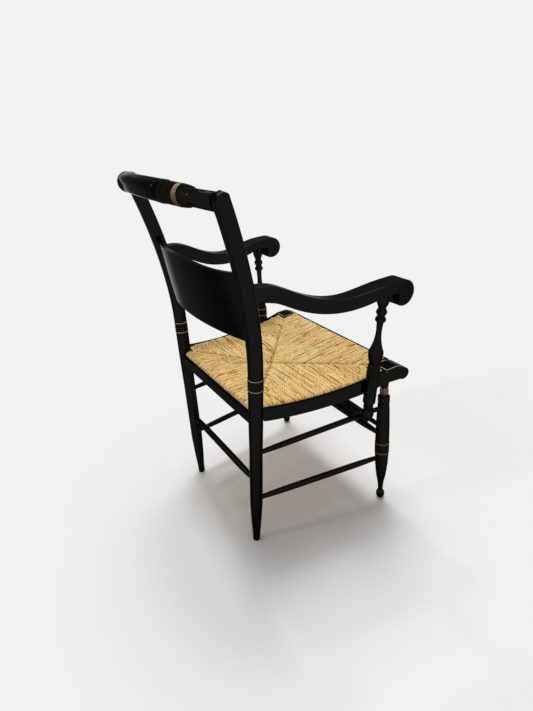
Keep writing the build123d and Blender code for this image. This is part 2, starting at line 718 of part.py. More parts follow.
def post_shape():
    """The left back post with all of its sockets."""
    full, slim, foot = POST_DIA / 2, BACK_MIDDLE_DIA / 2, BACK_FOOT_DIA / 2
    steps = [(-2, foot - 0.6), (0, foot - 0.6), (2, foot), (30, foot + 1.0),
             (BACK_TAPER_HEIGHT - 36, slim - 1.5, 0.6), (BACK_TAPER_HEIGHT, slim, 0.3),
             (SEAT_HEIGHT - 121, slim), (BACK_RINGS_LOW - 24, full, 0.4),
             (BACK_RINGS_LOW - 5, full)]
    steps += ring_steps(BACK_RINGS_LOW, BACK_RINGS_HIGH, 5, full)
    steps += [(BACK_RINGS_HIGH + 5, full), (POST_TURNED_TOP, full)]
    post = above_floor(upright(steps, BACK_FOOT, BACK_SEAT))
    post = post + (bent_post() - head_waste())
    cuts = [socket(side_low()), socket(side_high()), socket(back_line()),
            rail_tenon(FIT_GAP), rail_socket(back_rail_line()), crest_tenon(LEFT, FIT_GAP),
            slat_shape(FIT_GAP), arm_screw(FIT_GAP), arm_plug(FIT_GAP), slat_pin(FIT_GAP)]
    for cut in cuts:
        post = post - cut
    return post


# ---------------------------------------------------------------- crest rail

def crest_outline():
    """(distance from the middle, height, thickness, corner) along half the rail."""
    band, ridge, groove = CREST_BAND_DIA, CREST_RIDGE_DIA, CREST_GROOVE_DIA
    ring, collar, neck = CREST_RING_DIA, CREST_COLLAR_DIA, CREST_NECK_DIA
    low, high = CREST_BAND_IN, CREST_BAND_OUT
    rounds = [(PILLOW_HALF + 1, ring - 3), (PILLOW_HALF + 2.5, ring), (114, ring),
              (115, ring - 2), (117, groove), (120.5, groove)]
    for start in (low - 29, low - 20.5, low - 12):
        rounds += [(start + 0.8, ridge - 0.6), (start + 3.5, ridge), (start + 6.2, ridge - 0.6),
                   (start + 7.2, groove), (start + 8.2, groove)]
    rounds += [(low, groove - 0.6), (low + 0.8, band), (high - 0.8, band), (high, groove),
               (high + 1, groove), (high + 2, collar), (high + 5, collar), (high + 6, groove),
               (high + 7, groove), (high + 8, collar - 0.8), (high + 11, collar - 1.2),
               (high + 12, groove - 1), (high + 13, groove - 1), (high + 14, collar - 2.2),
               (high + 16.5, collar - 3), (high + 19, neck + 0.4), (high + 22, neck),
               (191, neck), (198, neck + 0.2)]
    table = [(x, PILLOW_HEIGHT - 1.6 * (1 - x / PILLOW_HALF) ** 2, PILLOW_THICKNESS,
              PILLOW_CORNER) for x in range(0, int(PILLOW_HALF) - 6, 8)]
    table += [(PILLOW_HALF - 2, PILLOW_HEIGHT - 1, PILLOW_THICKNESS - 1, PILLOW_CORNER),
              (PILLOW_HALF, PILLOW_HEIGHT - 3, PILLOW_THICKNESS - 1, PILLOW_CORNER)]
    table += [(x, dia, dia, dia * 0.495) for x, dia in rounds]
    for step in range(1, 9):
        x = CREST_TURN_X + (CREST_END_X - CREST_TURN_X) * step / 8
        share = crest_end_share(x)
        high = neck + (CREST_END_HEIGHT - neck) * share
        thick = neck + (CREST_END_THICKNESS - neck) * share
        table.append((x, high, thick, min(high, thick) * 0.495))
    return table


def crest_section(x, height, thickness, corner):
    """One cross-section of the crest rail: square to its centre line, turning square
    to the post at the ends, and leaning back as the posts do."""
    share = crest_end_share(x)
    along = (crest(x + 1) - crest(x - 1)).normalized()
    along = along * (1 - share) + Vector(1, 0, 0) * share
    lean = post_direction(CREST_HEIGHT)
    place = Plane(origin=crest(x), x_dir=(0, lean.Y, lean.Z), z_dir=along.normalized())
    return place * RectangleRounded(height, thickness, corner)


def crest_tenon(side, grow=0.0):
    """The round tenon at one end of the crest rail."""
    play = END_PLAY if grow else 0.0
    inner, tip = crest(CREST_TENON_ROOT_X), crest(CREST_TENON_X + play)
    return handed(bar(inner, tip, CREST_TENON_DIA + 2 * grow), side)


def beyond_post():
    """Everything outwards of the left post's inner face at the crest rail."""
    place = Plane(origin=back_post(CREST_HEIGHT), x_dir=(1, 0, 0),
                  z_dir=post_direction(CREST_HEIGHT))
    start = REACH / 2 - POST_TOP_WIDTH / 2 - JOINT_GAP
    return place * Pos(start, 0, 0) * Box(REACH, 2 * REACH, 2 * REACH)


def crest_rail():
    """The turned crest rail, bowed backwards, with its flattened middle."""
    half = crest_outline()
    sections = [crest_section(-x, *size) for x, *size in half[:0:-1]]
    sections += [crest_section(x, *size) for x, *size in half]
    rail = loft(sections, ruled=True)
    for _, side in SIDES:
        rail = rail - handed(bent_post(JOINT_GAP) + beyond_post(), side)
    rail = largest(rail)
    return rail + crest_tenon(LEFT) + crest_tenon(RIGHT)


# ---------------------------------------------------------------- back slat

def slat_end(height):
    """Half the slat's visible length at a height: to the post's inner face."""
    rest = (POST_HEIGHT - height) / (POST_HEIGHT - POST_TURNED_TOP)
    width = POST_TOP_WIDTH + (POST_DIA - POST_TOP_WIDTH) * rest
    return back_post(height).X - width / 2


def slat_band(grow):
    """A bowed board leaning with the posts, longer and taller than the slat."""
    low, high = back_post(SLAT_BOTTOM), back_post(SLAT_TOP)
    lean = Vector(0, high.Y - low.Y, high.Z - low.Z)
    half = slat_end(SLAT_TOP)
    thick = SLAT_THICKNESS / 2 + grow
    radius = (half ** 2 + SLAT_BOW ** 2) / (2 * SLAT_BOW)
    centre = SLAT_BOW - radius
    ring = Circle(radius + thick) - Circle(radius - thick)
    window = Pos(0, radius) * Rectangle(2 * half + 60, 2 * SLAT_BOW + 60)
    face = Pos(0, centre) * (ring & window)
    place = Plane(origin=Vector(0, low.Y, low.Z) - lean * 0.2, x_dir=(1, 0, 0), z_dir=lean)
    return extrude(place * face, amount=lean.length * 1.4)


def slat_front(grow):
    """The slat's outline seen from the front, tenons included."""
    into = SLAT_TENON_LENGTH + (END_PLAY if grow else 0.0)
    top, bottom = SLAT_TOP + grow, SLAT_BOTTOM - grow
    x_top, x_low = slat_end(SLAT_TOP) + into, slat_end(SLAT_BOTTOM) + into
    half_top, half_low = slat_end(SLAT_TOP), slat_end(SLAT_BOTTOM)
    crown = Spline((half_top, top), (half_top * 0.5, top - SLAT_DIP), (0, top),
                   (-half_top * 0.5, top - SLAT_DIP), (-half_top, top))
    base = ThreePointArc((-half_low, bottom), (0, bottom + SLAT_ARCH), (half_low, bottom))
    return outline(crown, Line((-half_top, top), (-x_top, top)),
                   Line((-x_top, top), (-x_low, bottom)),
                   Line((-x_low, bottom), (-half_low, bottom)), base,
                   Line((half_low, bottom), (x_low, bottom)),
                   Line((x_low, bottom), (x_top, top)), Line((x_top, top), (half_top, top)))


def slat_shape(grow=0.0):
    """The bowed back slat with its tenons; grown, it cuts the mortises."""
    place = Plane(origin=(0, 0, 0), x_dir=(1, 0, 0), z_dir=(0, -1, 0))
    front = extrude(place * slat_front(grow), amount=-2 * REACH, dir=(0, -1, 0))
    return slat_band(grow) & front


def slat_pin(grow=0.0):
    """The pin driven through the left post and the slat's tenon from behind."""
    height = (SLAT_TOP + SLAT_BOTTOM) / 2
    x = slat_end(height) + SLAT_TENON_LENGTH / 2
    middle = Vector(x, back_post(height).Y, height)
    rear = middle + Vector(0, PIN_LENGTH / 2, 0)
    return bar(rear, rear - Vector(0, PIN_LENGTH + (END_PLAY if grow else 0.0), 0),
               PIN_DIA + 2 * grow)


# ---------------------------------------------------------------- arms

def arm_side_view():
    """The arm's outline from the side: swept down, then up to a rolled end."""
    rear = POST_RISE_Y
    hollow, low = ARM_HOLLOW_TOP, ARM_HOLLOW_TOP - ARM_HOLLOW_THICKNESS
    top = Spline((rear, ARM_REAR_TOP + 5), (184, ARM_REAR_TOP), (156, ARM_REAR_TOP - 2),
                 (130, ARM_REAR_TOP - 10), (94, ARM_REAR_TOP - 28.5), (54, hollow + 11.4),
                 (ARM_HOLLOW_Y, hollow), (-44, hollow + 3.2), (-95, hollow + 11.0),
                 (SCROLL_Y, SCROLL_TOP), tangents=((-1, -0.09), (-1, 0)))
    low_rear = ARM_REAR_TOP - ARM_REAR_THICKNESS
    step_y = SCROLL_Y + SCROLL_STEP
    under = Spline((ARM_PAD_REAR_Y, ARM_PAD_HEIGHT), (-69, low + 8.3), (-30, low + 1.3),
                   (ARM_HOLLOW_Y + 10, low), (52, low + 7.2), (85, low_rear - 36),
                   (118, low_rear - 19.4), (142, low_rear - 7.5), (168, low_rear - 1),
                   (rear, low_rear + 18), tangents=((1, -0.35), (1, 0.25)))
    radius = SCROLL_DIA / 2
    middle = SCROLL_TOP - radius
    step_z = middle - sqrt(radius ** 2 - SCROLL_STEP ** 2)
    roll = ThreePointArc((SCROLL_Y, SCROLL_TOP), (SCROLL_Y - radius, middle), (step_y, step_z))
    return outline(top, roll, Line((step_y, step_z), (step_y, ARM_PAD_HEIGHT)),
                   Line((step_y, ARM_PAD_HEIGHT), (ARM_PAD_REAR_Y, ARM_PAD_HEIGHT)),
                   under, Line((rear, low_rear + 18), (rear, ARM_REAR_TOP + 5)))


def arm_middle(y):
    """The x position of the arm's centre line, straight from post to arm post."""
    rear = back_post(ARM_JOINT_HEIGHT)
    share = (rear.Y - y) / (rear.Y - ARM_POST_Y)
    return rear.X + (ARM_FRONT_X - rear.X) * share


def arm_plan():
    """The arm's outline from above: wider and splayed towards the front."""
    rear = POST_RISE_Y
    front = SCROLL_Y - SCROLL_DIA / 2 - 2
    mid_width = (ARM_REAR_WIDTH + ARM_FRONT_WIDTH) / 2 - 1
    sides = []
    for edge in (0.5, -0.5):
        sides.append(Spline((arm_middle(rear) + edge * ARM_REAR_WIDTH, rear),
                            (arm_middle(20) + edge * mid_width, 20),
                            (ARM_FRONT_X + edge * ARM_FRONT_WIDTH, ARM_POST_Y),
                            (ARM_FRONT_X + edge * ARM_FRONT_WIDTH, front),
                            tangents=((ARM_FRONT_X - arm_middle(rear), ARM_POST_Y - rear),
                                      (0, -1))))
    outer, inner = sides
    return outline(outer, Line(outer @ 1, inner @ 1), inner, Line(inner @ 0, outer @ 0))


def arm_blank():
    """The left arm before boring, with softened edges."""
    tall = Pos(0, 0, ARM_HOLLOW_TOP - REACH / 2) * extrude(arm_plan(), amount=REACH)
    arm = lifted(arm_side_view(), BLOCK_INNER_X - 20, BLOCK_INNER_X + REACH) & tall
    sharp = arm.edges().filter_by(lambda edge: edge.length > 2 * ARM_SOFTENING)
    return fillet(sharp, ARM_SOFTENING)


def arm_shape():
    """The left arm, shaped to the post and bored for its fastenings."""
    arm = largest(arm_blank() - bent_post(JOINT_GAP) - Pos(0, back_post(
        ARM_JOINT_HEIGHT).Y + REACH / 2 - POST_TOP_DEPTH / 4, ARM_JOINT_HEIGHT)
        * Box(5 * REACH, REACH, REACH))
    return arm - arm_tenon(FIT_GAP) - arm_screw(FIT_GAP)


# ---------------------------------------------------------------- arm posts

def arm_tenon(grow=0.0):
    """The round tenon on top of the left arm post."""
    play = END_PLAY if grow else 0.0
    return bar(arm_post(ARM_PAD_HEIGHT - 3), arm_post(ARM_PAD_HEIGHT + ARM_TENON_LENGTH + play),
               ARM_TENON_DIA + 2 * grow)


def arm_post_shape():
    """The left arm post: drop, flat lap on the seat frame, vase and beads."""
    drop, full, vase = DROP_DIA / 2, ARM_POST_DIA / 2, VASE_DIA / 2
    slim, bead, head = SPINDLE_DIA / 2, BEAD_DIA / 2, ARM_POST_HEAD_DIA / 2
    tip, top = DROP_TIP, ARM_PAD_HEIGHT - DROP_TIP
    steps = [(0, 3.5), (5, 4.5, 0.8), (6, 4.0), (40, 9.5, drop - 6.4)]
    steps += ring_steps(44, 56, 3, 11.5)
    steps += [(60, 11), (61, full), (127, full), (128.5, full - 1.5), (131, full - 1.5)]
    steps += ring_steps(136, 155, 4, full - 0.4)
    steps += [(159, full - 1.5), (161, full - 0.6), (170, full - 2.7, -0.6),
              (194, vase, 0.8), (204, vase - 1.6, 0.7), (top - 91, slim, -2.4),
              (top - 72, slim + 0.9), (top - 68, slim + 0.9), (top - 67, bead - 1.8),
              (top - 57, bead - 1.8, 1.8), (top - 56, slim + 2.2), (top - 51, slim + 2.2),
              (top - 37, slim + 2.2, bead - slim - 2.2), (top - 34, slim + 2.4),
              (top - 26, head - 2, -0.4), (top - 18, head, 0.3), (top + 2, head)]
    post = upright(steps, arm_post(tip), arm_post(ARM_PAD_HEIGHT))
    over = Pos(0, 0, ARM_PAD_HEIGHT + REACH / 2) * Box(5 * REACH, 5 * REACH, REACH)
    lap = dipping(0, STRIP_DEPTH, BLOCK_THICKNESS, 0, REACH / 4, JOINT_GAP)
    post = post - over - lap
    return largest(post) + arm_tenon() - seat_screw(FIT_GAP) - seat_plug(FIT_GAP)


# ---------------------------------------------------------------- fastenings

def screw(head, aim, length, grow):
    """A countersunk screw from head towards aim; grown, it is its own hole."""
    wide, slim = SCREW_HEAD_DIA / 2 + grow, SCREW_SHANK_DIA / 2 + grow
    play = END_PLAY if grow else 0.0
    steps = [(0, wide), (SCREW_HEAD_LENGTH, slim), (length + play, slim)]
    return spindle(steps, head, aim)


def plug(bottom, outward, grow):
    """A domed plug over a screw, from the bottom of its bore outwards."""
    radius = PLUG_DIA / 2
    if grow:
        return bar(bottom, bottom + outward * (PLUG_DEPTH * 3), PLUG_DIA + 2 * grow)
    steps = [(0.2, radius), (PLUG_DEPTH, radius), (PLUG_DEPTH + PLUG_PROUD, 1.0, 1.6)]
    return spindle(steps, bottom, bottom + outward)


def arm_screw_line():
    """Where the arm's screw starts, under its plug, and its direction."""
    joint = back_post(ARM_JOINT_HEIGHT)
    aim = (Vector(arm_middle(100), 100, ARM_JOINT_HEIGHT - 22) - joint).normalized()
    return joint - aim * (POST_TOP_DEPTH / 2 + 0.9), aim


def arm_screw(grow=0.0):
    """The screw through the left post into the arm's rear end."""
    surface, aim = arm_screw_line()
    head = surface + aim * PLUG_DEPTH
    return screw(head, head + aim, ARM_SCREW_LENGTH, grow)


def arm_plug(grow=0.0):
    """The plug over the arm's screw, in the back of the left post."""
    surface, aim = arm_screw_line()
    return plug(surface + aim * PLUG_DEPTH, aim * -1, grow)


def seat_screw_line():
    """Where the arm post's screw starts, under its plug, and its direction."""
    start = arm_post(ARM_SCREW_HEIGHT) - INWARD * (ARM_POST_DIA / 2)
    return start, INWARD


def seat_screw(grow=0.0):
    """The screw through the left arm post into the seat frame."""
    surface, aim = seat_screw_line()
    head = surface + aim * PLUG_DEPTH
    return screw(head, head + aim, POST_SCREW_LENGTH, grow)


def seat_plug(grow=0.0):
    """The plug over the arm post's screw."""
    surface, aim = seat_screw_line()
    return plug(surface + aim * PLUG_DEPTH, aim * -1, grow)


def nail(start, aim, grow=0.0):
    """A small nail, its head flush with the surface."""
    head, shank = NAIL_HEAD_DIA / 2 + grow, NAIL_SHANK_DIA / 2 + grow
    play = END_PLAY if grow else 0.0
    steps = [(0, head), (NAIL_HEAD_LENGTH, head), (NAIL_HEAD_LENGTH + play / 5, shank),
             (NAIL_LENGTH + play, shank)]
    return spindle(steps, start, start + aim)


def nails(grow=0.0):
    """All the strips' nails: two in each strip."""
    found = []
    height = rail_height()
    for x in (-BLOCK_INNER_X * 0.6, BLOCK_INNER_X * 0.6):
        back = Vector(x, BACK_STRIP_Y, height - RUSH_BACK_DROP)
        found.append(nail(back, Vector(0, -1, 0), grow))
        found.append(nail(Vector(x, FRONT_STRIP_Y + 0.1, height), Vector(0, 1, 0), grow))
    for share in (0.2, 0.62):
        dip = SEAT_DIP * (1 - (2 * share - 1) ** 2)
        place = beside(SIDE_LENGTH * share, 0, SEAT_HEIGHT - dip - STRIP_DEPTH / 2)
        for _, side in SIDES:
            found.append(handed(nail(place, INWARD, grow), side))
    return found


# ---------------------------------------------------------------- assembly

def largest(shape):
    """The biggest solid of a shape that a cut may have parted."""
    return sorted(shape.solids(), key=lambda solid: solid.volume)[-1]


def bored(shape, *cuts):
    """A shape with holes cut by every given solid."""
    for cut in cuts:
        shape = shape - cut
    return shape


def pair(shape):
    """The shape on the left and its mirror image on the right, as one group."""
    return Compound([handed(solid, side) for _, side in SIDES for solid in shape.solids()])


def build():
    """Every piece of the chair by name."""
    pieces = {}
    nail_holes = nails(FIT_GAP)
    screw_holes = [handed(seat_screw(FIT_GAP), side) for _, side in SIDES]
    halves = {"back_post": post_shape(), "front_leg": front_leg_shape(),
              "seat_block": seat_block(), "seat_rail": side_rail(),
              "side_strip": side_strip(), "arm": arm_shape(),
              "arm_post": arm_post_shape(), "lower_stretcher": rod(side_low(), SIDE_LOW_DIA),
              "upper_stretcher": rod(side_high(), SIDE_HIGH_DIA)}
    for hand, side in SIDES:
        for name, shape in halves.items():
            piece = handed(shape, side)
            if name in ("seat_rail", "side_strip"):
                piece = bored(piece, *nail_holes, *screw_holes)
            pieces[hand + "_" + name] = piece
    pieces["front_rail"] = bored(round_rail(front_rail_line(), RAIL_TENON_LENGTH), *nail_holes)
    pieces["back_rail"] = bored(round_rail(back_rail_line(), RAIL_TENON_LENGTH + 10),
                                *nail_holes)
    pieces["front_strip"] = bored(front_strip(), *nail_holes)
    pieces["back_strip"] = bored(back_strip(), *nail_holes)
    pieces["rush_seat"] = bored(rush_seat(), *nail_holes, *screw_holes)
    pieces["back_stretcher"] = rod(back_line(), BACK_STRETCHER_DIA)
    pieces["front_lower_stretcher"] = rod(front_line(FRONT_LOW_HEIGHT), FRONT_LOW_DIA)
    pieces["front_upper_stretcher"] = turned_rod(front_line(FRONT_HIGH_HEIGHT), FRONT_HIGH_DIA)
    pieces["crest_rail"] = crest_rail()
    slat_holes = [handed(slat_pin(FIT_GAP), side) for _, side in SIDES]
    pieces["back_slat"] = bored(slat_shape(), *slat_holes)
    pieces["arm_screws"] = pair(arm_screw())
    pieces["arm_plugs"] = pair(arm_plug())
    pieces["arm_post_screws"] = pair(seat_screw())
    pieces["arm_post_plugs"] = pair(seat_plug())
    pieces["slat_pins"] = pair(slat_pin())
    pieces["strip_nails"] = Compound([solid for part in nails() for solid in part.solids()])
    return pieces


def main():
    os.makedirs("parts", exist_ok=True)
    pieces = build()
    boxes = [piece.bounding_box() for piece in pieces.values()]
    middle = (min(box.min.Y for box in boxes) + max(box.max.Y for box in boxes)) / 2
    for name, piece in pieces.items():
        export_step(Pos(0, -middle, 0) * piece, "parts/" + name + ".step")
    print(len(pieces), "pieces, moved in y by", round(-middle, 3))


main()
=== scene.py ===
# %% [markdown]
# # A black painted armchair with a rush seat
# The chair's solids come from a CAD model, packed as one fixed frame. This lesson
# gives those solids their paint and gold lines, and winds the rush seat strand by
# strand. Lengths are in metres, +Z is up, and the chair faces -Y.

# %% Load the frame
import bpy
import math
import numpy as np
from mathutils import Matrix, Vector


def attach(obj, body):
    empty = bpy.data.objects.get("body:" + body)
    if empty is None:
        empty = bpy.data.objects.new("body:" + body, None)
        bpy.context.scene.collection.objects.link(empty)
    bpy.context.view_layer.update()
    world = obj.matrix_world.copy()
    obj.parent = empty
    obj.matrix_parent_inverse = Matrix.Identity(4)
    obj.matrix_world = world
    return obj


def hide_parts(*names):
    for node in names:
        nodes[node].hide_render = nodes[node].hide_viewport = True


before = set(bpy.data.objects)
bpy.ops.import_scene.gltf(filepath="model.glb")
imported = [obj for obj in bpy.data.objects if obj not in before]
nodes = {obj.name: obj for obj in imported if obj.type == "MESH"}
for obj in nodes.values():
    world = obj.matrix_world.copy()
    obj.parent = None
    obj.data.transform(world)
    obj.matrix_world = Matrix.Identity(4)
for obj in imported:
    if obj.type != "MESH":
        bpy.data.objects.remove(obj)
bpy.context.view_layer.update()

# %% [markdown]
# ## Camera
# The camera looks down at the chair from behind its right shoulder. It is placed on
# a circle around a target by azimuth and elevation, then rolled a few degrees, as a
# hand-held camera is.

# %% Place the camera
AZIMUTH, ELEVATION, ROLL = math.radians(239.75), math.radians(26.345), math.radians(-3.653)
TARGET = Vector((0.0376, -0.036025, 0.3949))
DISTANCE = 1.3684
LENS_MM, SENSOR_MM = 25.293, 36.0


def camera_axes(azimuth, elevation, roll):
    """Right, up and backward unit vectors: the level ones, turned by the roll."""
    back = Vector((math.sin(azimuth) * math.cos(elevation),
                   -math.cos(azimuth) * math.cos(elevation), math.sin(elevation)))
    level = Vector((math.cos(azimuth), math.sin(azimuth), 0.0))
    upward = back.cross(level)
    right = level * math.cos(roll) + upward * math.sin(roll)
    return right, upward * math.cos(roll) - level * math.sin(roll), back


right, upward, back = camera_axes(AZIMUTH, ELEVATION, ROLL)
camera = bpy.data.objects.new("camera", bpy.data.cameras.new("camera"))
camera.matrix_world = Matrix.Translation(TARGET + back * DISTANCE) @ Matrix(
    (right, upward, back)).transposed().to_4x4()
camera.data.sensor_width = SENSOR_MM
camera.data.lens = LENS_MM
bpy.context.collection.objects.link(camera)
bpy.context.scene.camera = camera
print("camera at", [round(v, 3) for v in camera.matrix_world.translation])

# %% [markdown]
# ## Shader maths as Python
# A node tree is easier to read as a formula. This small class wraps one output
# socket and overloads Python's operators, so that `1 - mask * 0.5` adds the Math
# nodes by itself. Any other node comes from one method, `node`.

# %% A socket with arithmetic
class Shade:
    """One output of a node tree; arithmetic on it adds Math nodes."""

    def __init__(self, tree, socket=None):
        self.tree, self.socket = tree, socket

    def node(self, kind, settings=None, inputs=None, output=0):
        """Adds a shader node: its settings first, then its sockets' values or links."""
        made = self.tree.nodes.new("ShaderNode" + kind)
        for name, value in (settings or {}).items():
            setattr(made, name, value)
        for key, value in (inputs or {}).items():
            if isinstance(value, Shade):
                self.tree.links.new(value.socket, made.inputs[key])
            else:
                made.inputs[key].default_value = value
        return Shade(self.tree, made.outputs[output])

    def math(self, operation, *values):
        return self.node("Math", {"operation": operation}, dict(enumerate(values)))

    def __add__(self, other): return self.math("ADD", self, other)
    def __radd__(self, other): return self.math("ADD", other, self)
    def __sub__(self, other): return self.math("SUBTRACT", self, other)
    def __rsub__(self, other): return self.math("SUBTRACT", other, self)
    def __mul__(self, other): return self.math("MULTIPLY", self, other)
    def __rmul__(self, other): return self.math("MULTIPLY", other, self)
    def __abs__(self): return self.math("ABSOLUTE", self)

    def least(self, other): return self.math("MINIMUM", self, other)
    def most(self, other): return self.math("MAXIMUM", self, other)

    def step(self, start, end):
        """0 below start, 1 above end, and a smooth rise between them."""
        return self.node("MapRange", {"interpolation_type": "SMOOTHSTEP"},
                         {"Value": self, "From Min": start, "From Max": end})

    def band(self, low, high, soft=0.0002):
        """1 between low and high, 0 outside, with soft edges."""
        return self.step(low - soft, low + soft) * (1 - self.step(high - soft, high + soft))

    def mix(self, a, b):
        """Colour a where this is 0 and colour b where it is 1."""
        mixed = self.tree.nodes.new("ShaderNodeMix")
        mixed.data_type = "RGBA"
        for name, value in (("A", a), ("B", b)):
            target = [s for s in mixed.inputs if s.name == name and s.type == "RGBA"][0]
            if isinstance(value, Shade):
                self.tree.links.new(value.socket, target)
            else:
                target.default_value = (*value, 1.0)
        self.tree.links.new(self.socket, mixed.inputs[0])
        return Shade(self.tree, [s for s in mixed.outputs if s.type == "RGBA"][0])


print("shader arithmetic ready")

# %% [markdown]
# ## Small helpers for materials
# Every material here starts from a point in the object's own coordinates. As no piece
# is moved or turned, they are also metres in the chair, so a line painted at a certain
# height needs no map.

# %% Material helpers
OBJECT_OUTPUT, NORMAL_OUTPUT = 3, 1          # of Texture Coordinate and of Geometry


def start_material(name):
    """A new material, its tree as a Shade, and its Principled BSDF."""
    material = bpy.data.materials.new(name)
    material.use_nodes = True
    tree = material.node_tree
    return material, Shade(tree), tree.nodes["Principled BSDF"]


def connect(shade, bsdf, name):
    """Links a Shade to a socket of the Principled BSDF."""
    shade.tree.links.new(shade.socket, bsdf.inputs[name])


def object_point(shade):
    """The shaded point in the object's coordinates."""
    return shade.node("TexCoord", output=OBJECT_OUTPUT)


def part_of(shade, vector, axis):
    """The x, y or z (0, 1 or 2) of a vector."""
    return shade.node("SeparateXYZ", {}, {0: vector}, axis)


def noise(shade, point, scale, detail=3.0, rough=0.55):
    """Blender's noise at a point, as a number around 0.5."""
    return shade.node("TexNoise", {}, {"Vector": point, "Scale": scale, "Detail": detail,
                                       "Roughness": rough})


def stretched(shade, point, scale):
    """The point, scaled along each axis, so that a noise becomes streaks."""
    return shade.node("Mapping", {}, {"Vector": point, "Scale": scale})


print("material helpers ready")

# %% [markdown]
# ## Where the gold lines are
# The chair's turned rings are picked out in gold. The gold lines are bands of distance
# along each turned piece: the height along a leg's sloping axis, or the angle around
# the crest rail's bow. Taking the absolute value of x makes one formula serve both
# sides of the chair.

# %% Axes and heights of the gold lines
SHIFT = -0.046925                    # from the middle of the seat to the frame's origin
BACK_FOOT, BACK_SEAT = (0.167, 0.195 + SHIFT, 0.0), (0.197, 0.1835 + SHIFT, 0.414)
FRONT_FOOT, FRONT_SEAT = (0.236, -0.171 + SHIFT, 0.0), (0.2195, -0.180 + SHIFT, 0.414)
ARM_TOP, ARM_POST_HEIGHT = (0.2688, -0.116 + SHIFT, 0.627), 0.344
ARM_LEAN_OUT, ARM_LEAN_FRONT = 0.08, 0.038         # sideways run for each metre of height
ARM_DROP = (ARM_TOP[0] - ARM_POST_HEIGHT * ARM_LEAN_OUT,
            ARM_TOP[1] + ARM_POST_HEIGHT * ARM_LEAN_FRONT, ARM_TOP[2] - ARM_POST_HEIGHT)
BACK_RINGS, BACK_RING_HALF = (0.4605, 0.487), 0.0011
LEG_RINGS, LEG_RING_HALF = (0.154, 0.1835), 0.0014
ARM_RINGS, ARM_RING_HALF = (0.136, 0.155), 0.0009
BALL_LOW, BALL_HIGH, BALL_SOFT = 0.3255, 0.3481, 0.0004


def along_axis(xyz, foot, head):
    """Height measured along a sloping axis: the point's dot product with the axis'
    direction, stretched so that it reads as plain height above the foot."""
    foot, head = Vector(foot), Vector(head)
    run = head - foot
    unit = run / (run.length * (run.length / run.z))
    x, y, z = xyz
    return (abs(x) - foot.x) * unit.x + (y - foot.y) * unit.y + (z - foot.z) * unit.z


def rings(height, middles, half):
    """A mask of several gold rings at given heights."""
    bands = [height.band(middle - half, middle + half) for middle in middles]
    mask = bands[0]
    for band in bands[1:]:
        mask = mask.most(band)
    return mask


print("an arm post's axis starts at", [round(v, 4) for v in ARM_DROP])

# %% Gold on the posts and legs
def back_post_gold(xyz):
    """Two thin rings just above the seat."""
    return rings(along_axis(xyz, BACK_FOOT, BACK_SEAT), BACK_RINGS, BACK_RING_HALF)


def front_leg_gold(xyz):
    """Two rings at half height, and a gilded ball under the seat."""
    height = along_axis(xyz, FRONT_FOOT, FRONT_SEAT)
    ball = height.band(BALL_LOW, BALL_HIGH, BALL_SOFT)
    return rings(height, LEG_RINGS, LEG_RING_HALF).most(ball)


def arm_post_gold(xyz):
    """Two thin rings, on the left post only, where x is positive."""
    left_post_only = xyz[0].step(-0.01, 0.01)
    return rings(along_axis(xyz, ARM_DROP, ARM_TOP), ARM_RINGS, ARM_RING_HALF) * left_post_only


print("rings on", len(BACK_RINGS) + len(LEG_RINGS) + len(ARM_RINGS), "levels")

# %% Gold on the crest rail and the corner blocks
CREST_HALF, CREST_BOW, CREST_Y = 0.2385, 0.062, 0.2405 + SHIFT
CREST_RADIUS = (CREST_HALF ** 2 + CREST_BOW ** 2) / (2 * CREST_BOW)
CREST_BAND, CREST_SOFT = (0.1503, 0.1617), 0.0003         # its edges, and a blur in radians
BLOCK_X, BLOCK_HALF_X = 0.2262, 0.0208
BLOCK_Y, BLOCK_HALF_Y = -0.1825 + SHIFT, 0.0235
BLOCK_TOP, BLOCK_LINE_HALF = 0.404, 0.0007


def crest_gold(xyz):
    """Two bands at equal angles round the centre of the crest rail's bow."""
    x, y, z = xyz
    centre = CREST_Y + CREST_BOW - CREST_RADIUS
    angle = abs(x).math("ARCTAN2", abs(x), y - centre)
    inner, outer = (math.asin(edge / CREST_RADIUS) for edge in CREST_BAND)
    return angle.band(inner, outer, CREST_SOFT)


def block_gold(xyz):
    """A thin rectangle on the top of each corner block: the greater of the distances
    past its half width and its half length is 0 on the line."""
    x, y, z = xyz
    across = abs(abs(x) - BLOCK_X) - BLOCK_HALF_X
    length = abs(y - BLOCK_Y) - BLOCK_HALF_Y
    line = across.most(length).band(-BLOCK_LINE_HALF, BLOCK_LINE_HALF)
    return line * z.step(BLOCK_TOP, BLOCK_TOP + 0.001)


print("crest radius", round(CREST_RADIUS, 4), "m")

# %% [markdown]
# ## The paint itself
# Gloss paint mirrors the room, and a plain white studio would turn that mirror grey
# wherever it is seen along the surface. So the black is mixed as a very dark metal,
# whose edge tint keeps it black there too. Clouds in its roughness, a fine brushed
# grain, and tops scuffed dull by hands and dust make it old; the tops also get a
# painted blue-grey sheen for the sky they mirror. The gold is bronze powder in
# varnish, with painted light on it: pale where it faces up, and brown where it faces
# down.

# %% Paint and gold
BLACK, WARM_BLACK = (0.0098, 0.0098, 0.0094), (0.0120, 0.0104, 0.0084)
# A light blue-grey for dust and wear, which also paints the sheen of the sky on the tops.
WORN_AND_SHEEN_GREY = (0.045, 0.049, 0.054)
# The gold's two ends: dark and shaded, pale and lit; painted light mixes between them.
GOLD_DARK_AND_SHADED, GOLD_PALE_AND_LIT = (0.10, 0.066, 0.034), (0.80, 0.70, 0.50)
METAL_SHARE, EDGE_TINT, SPECULAR_LEVEL = 0.9, 0.25, 0.1
GRAIN_STRETCH = (160.0, 160.0, 14.0)                       # fine across, long upwards


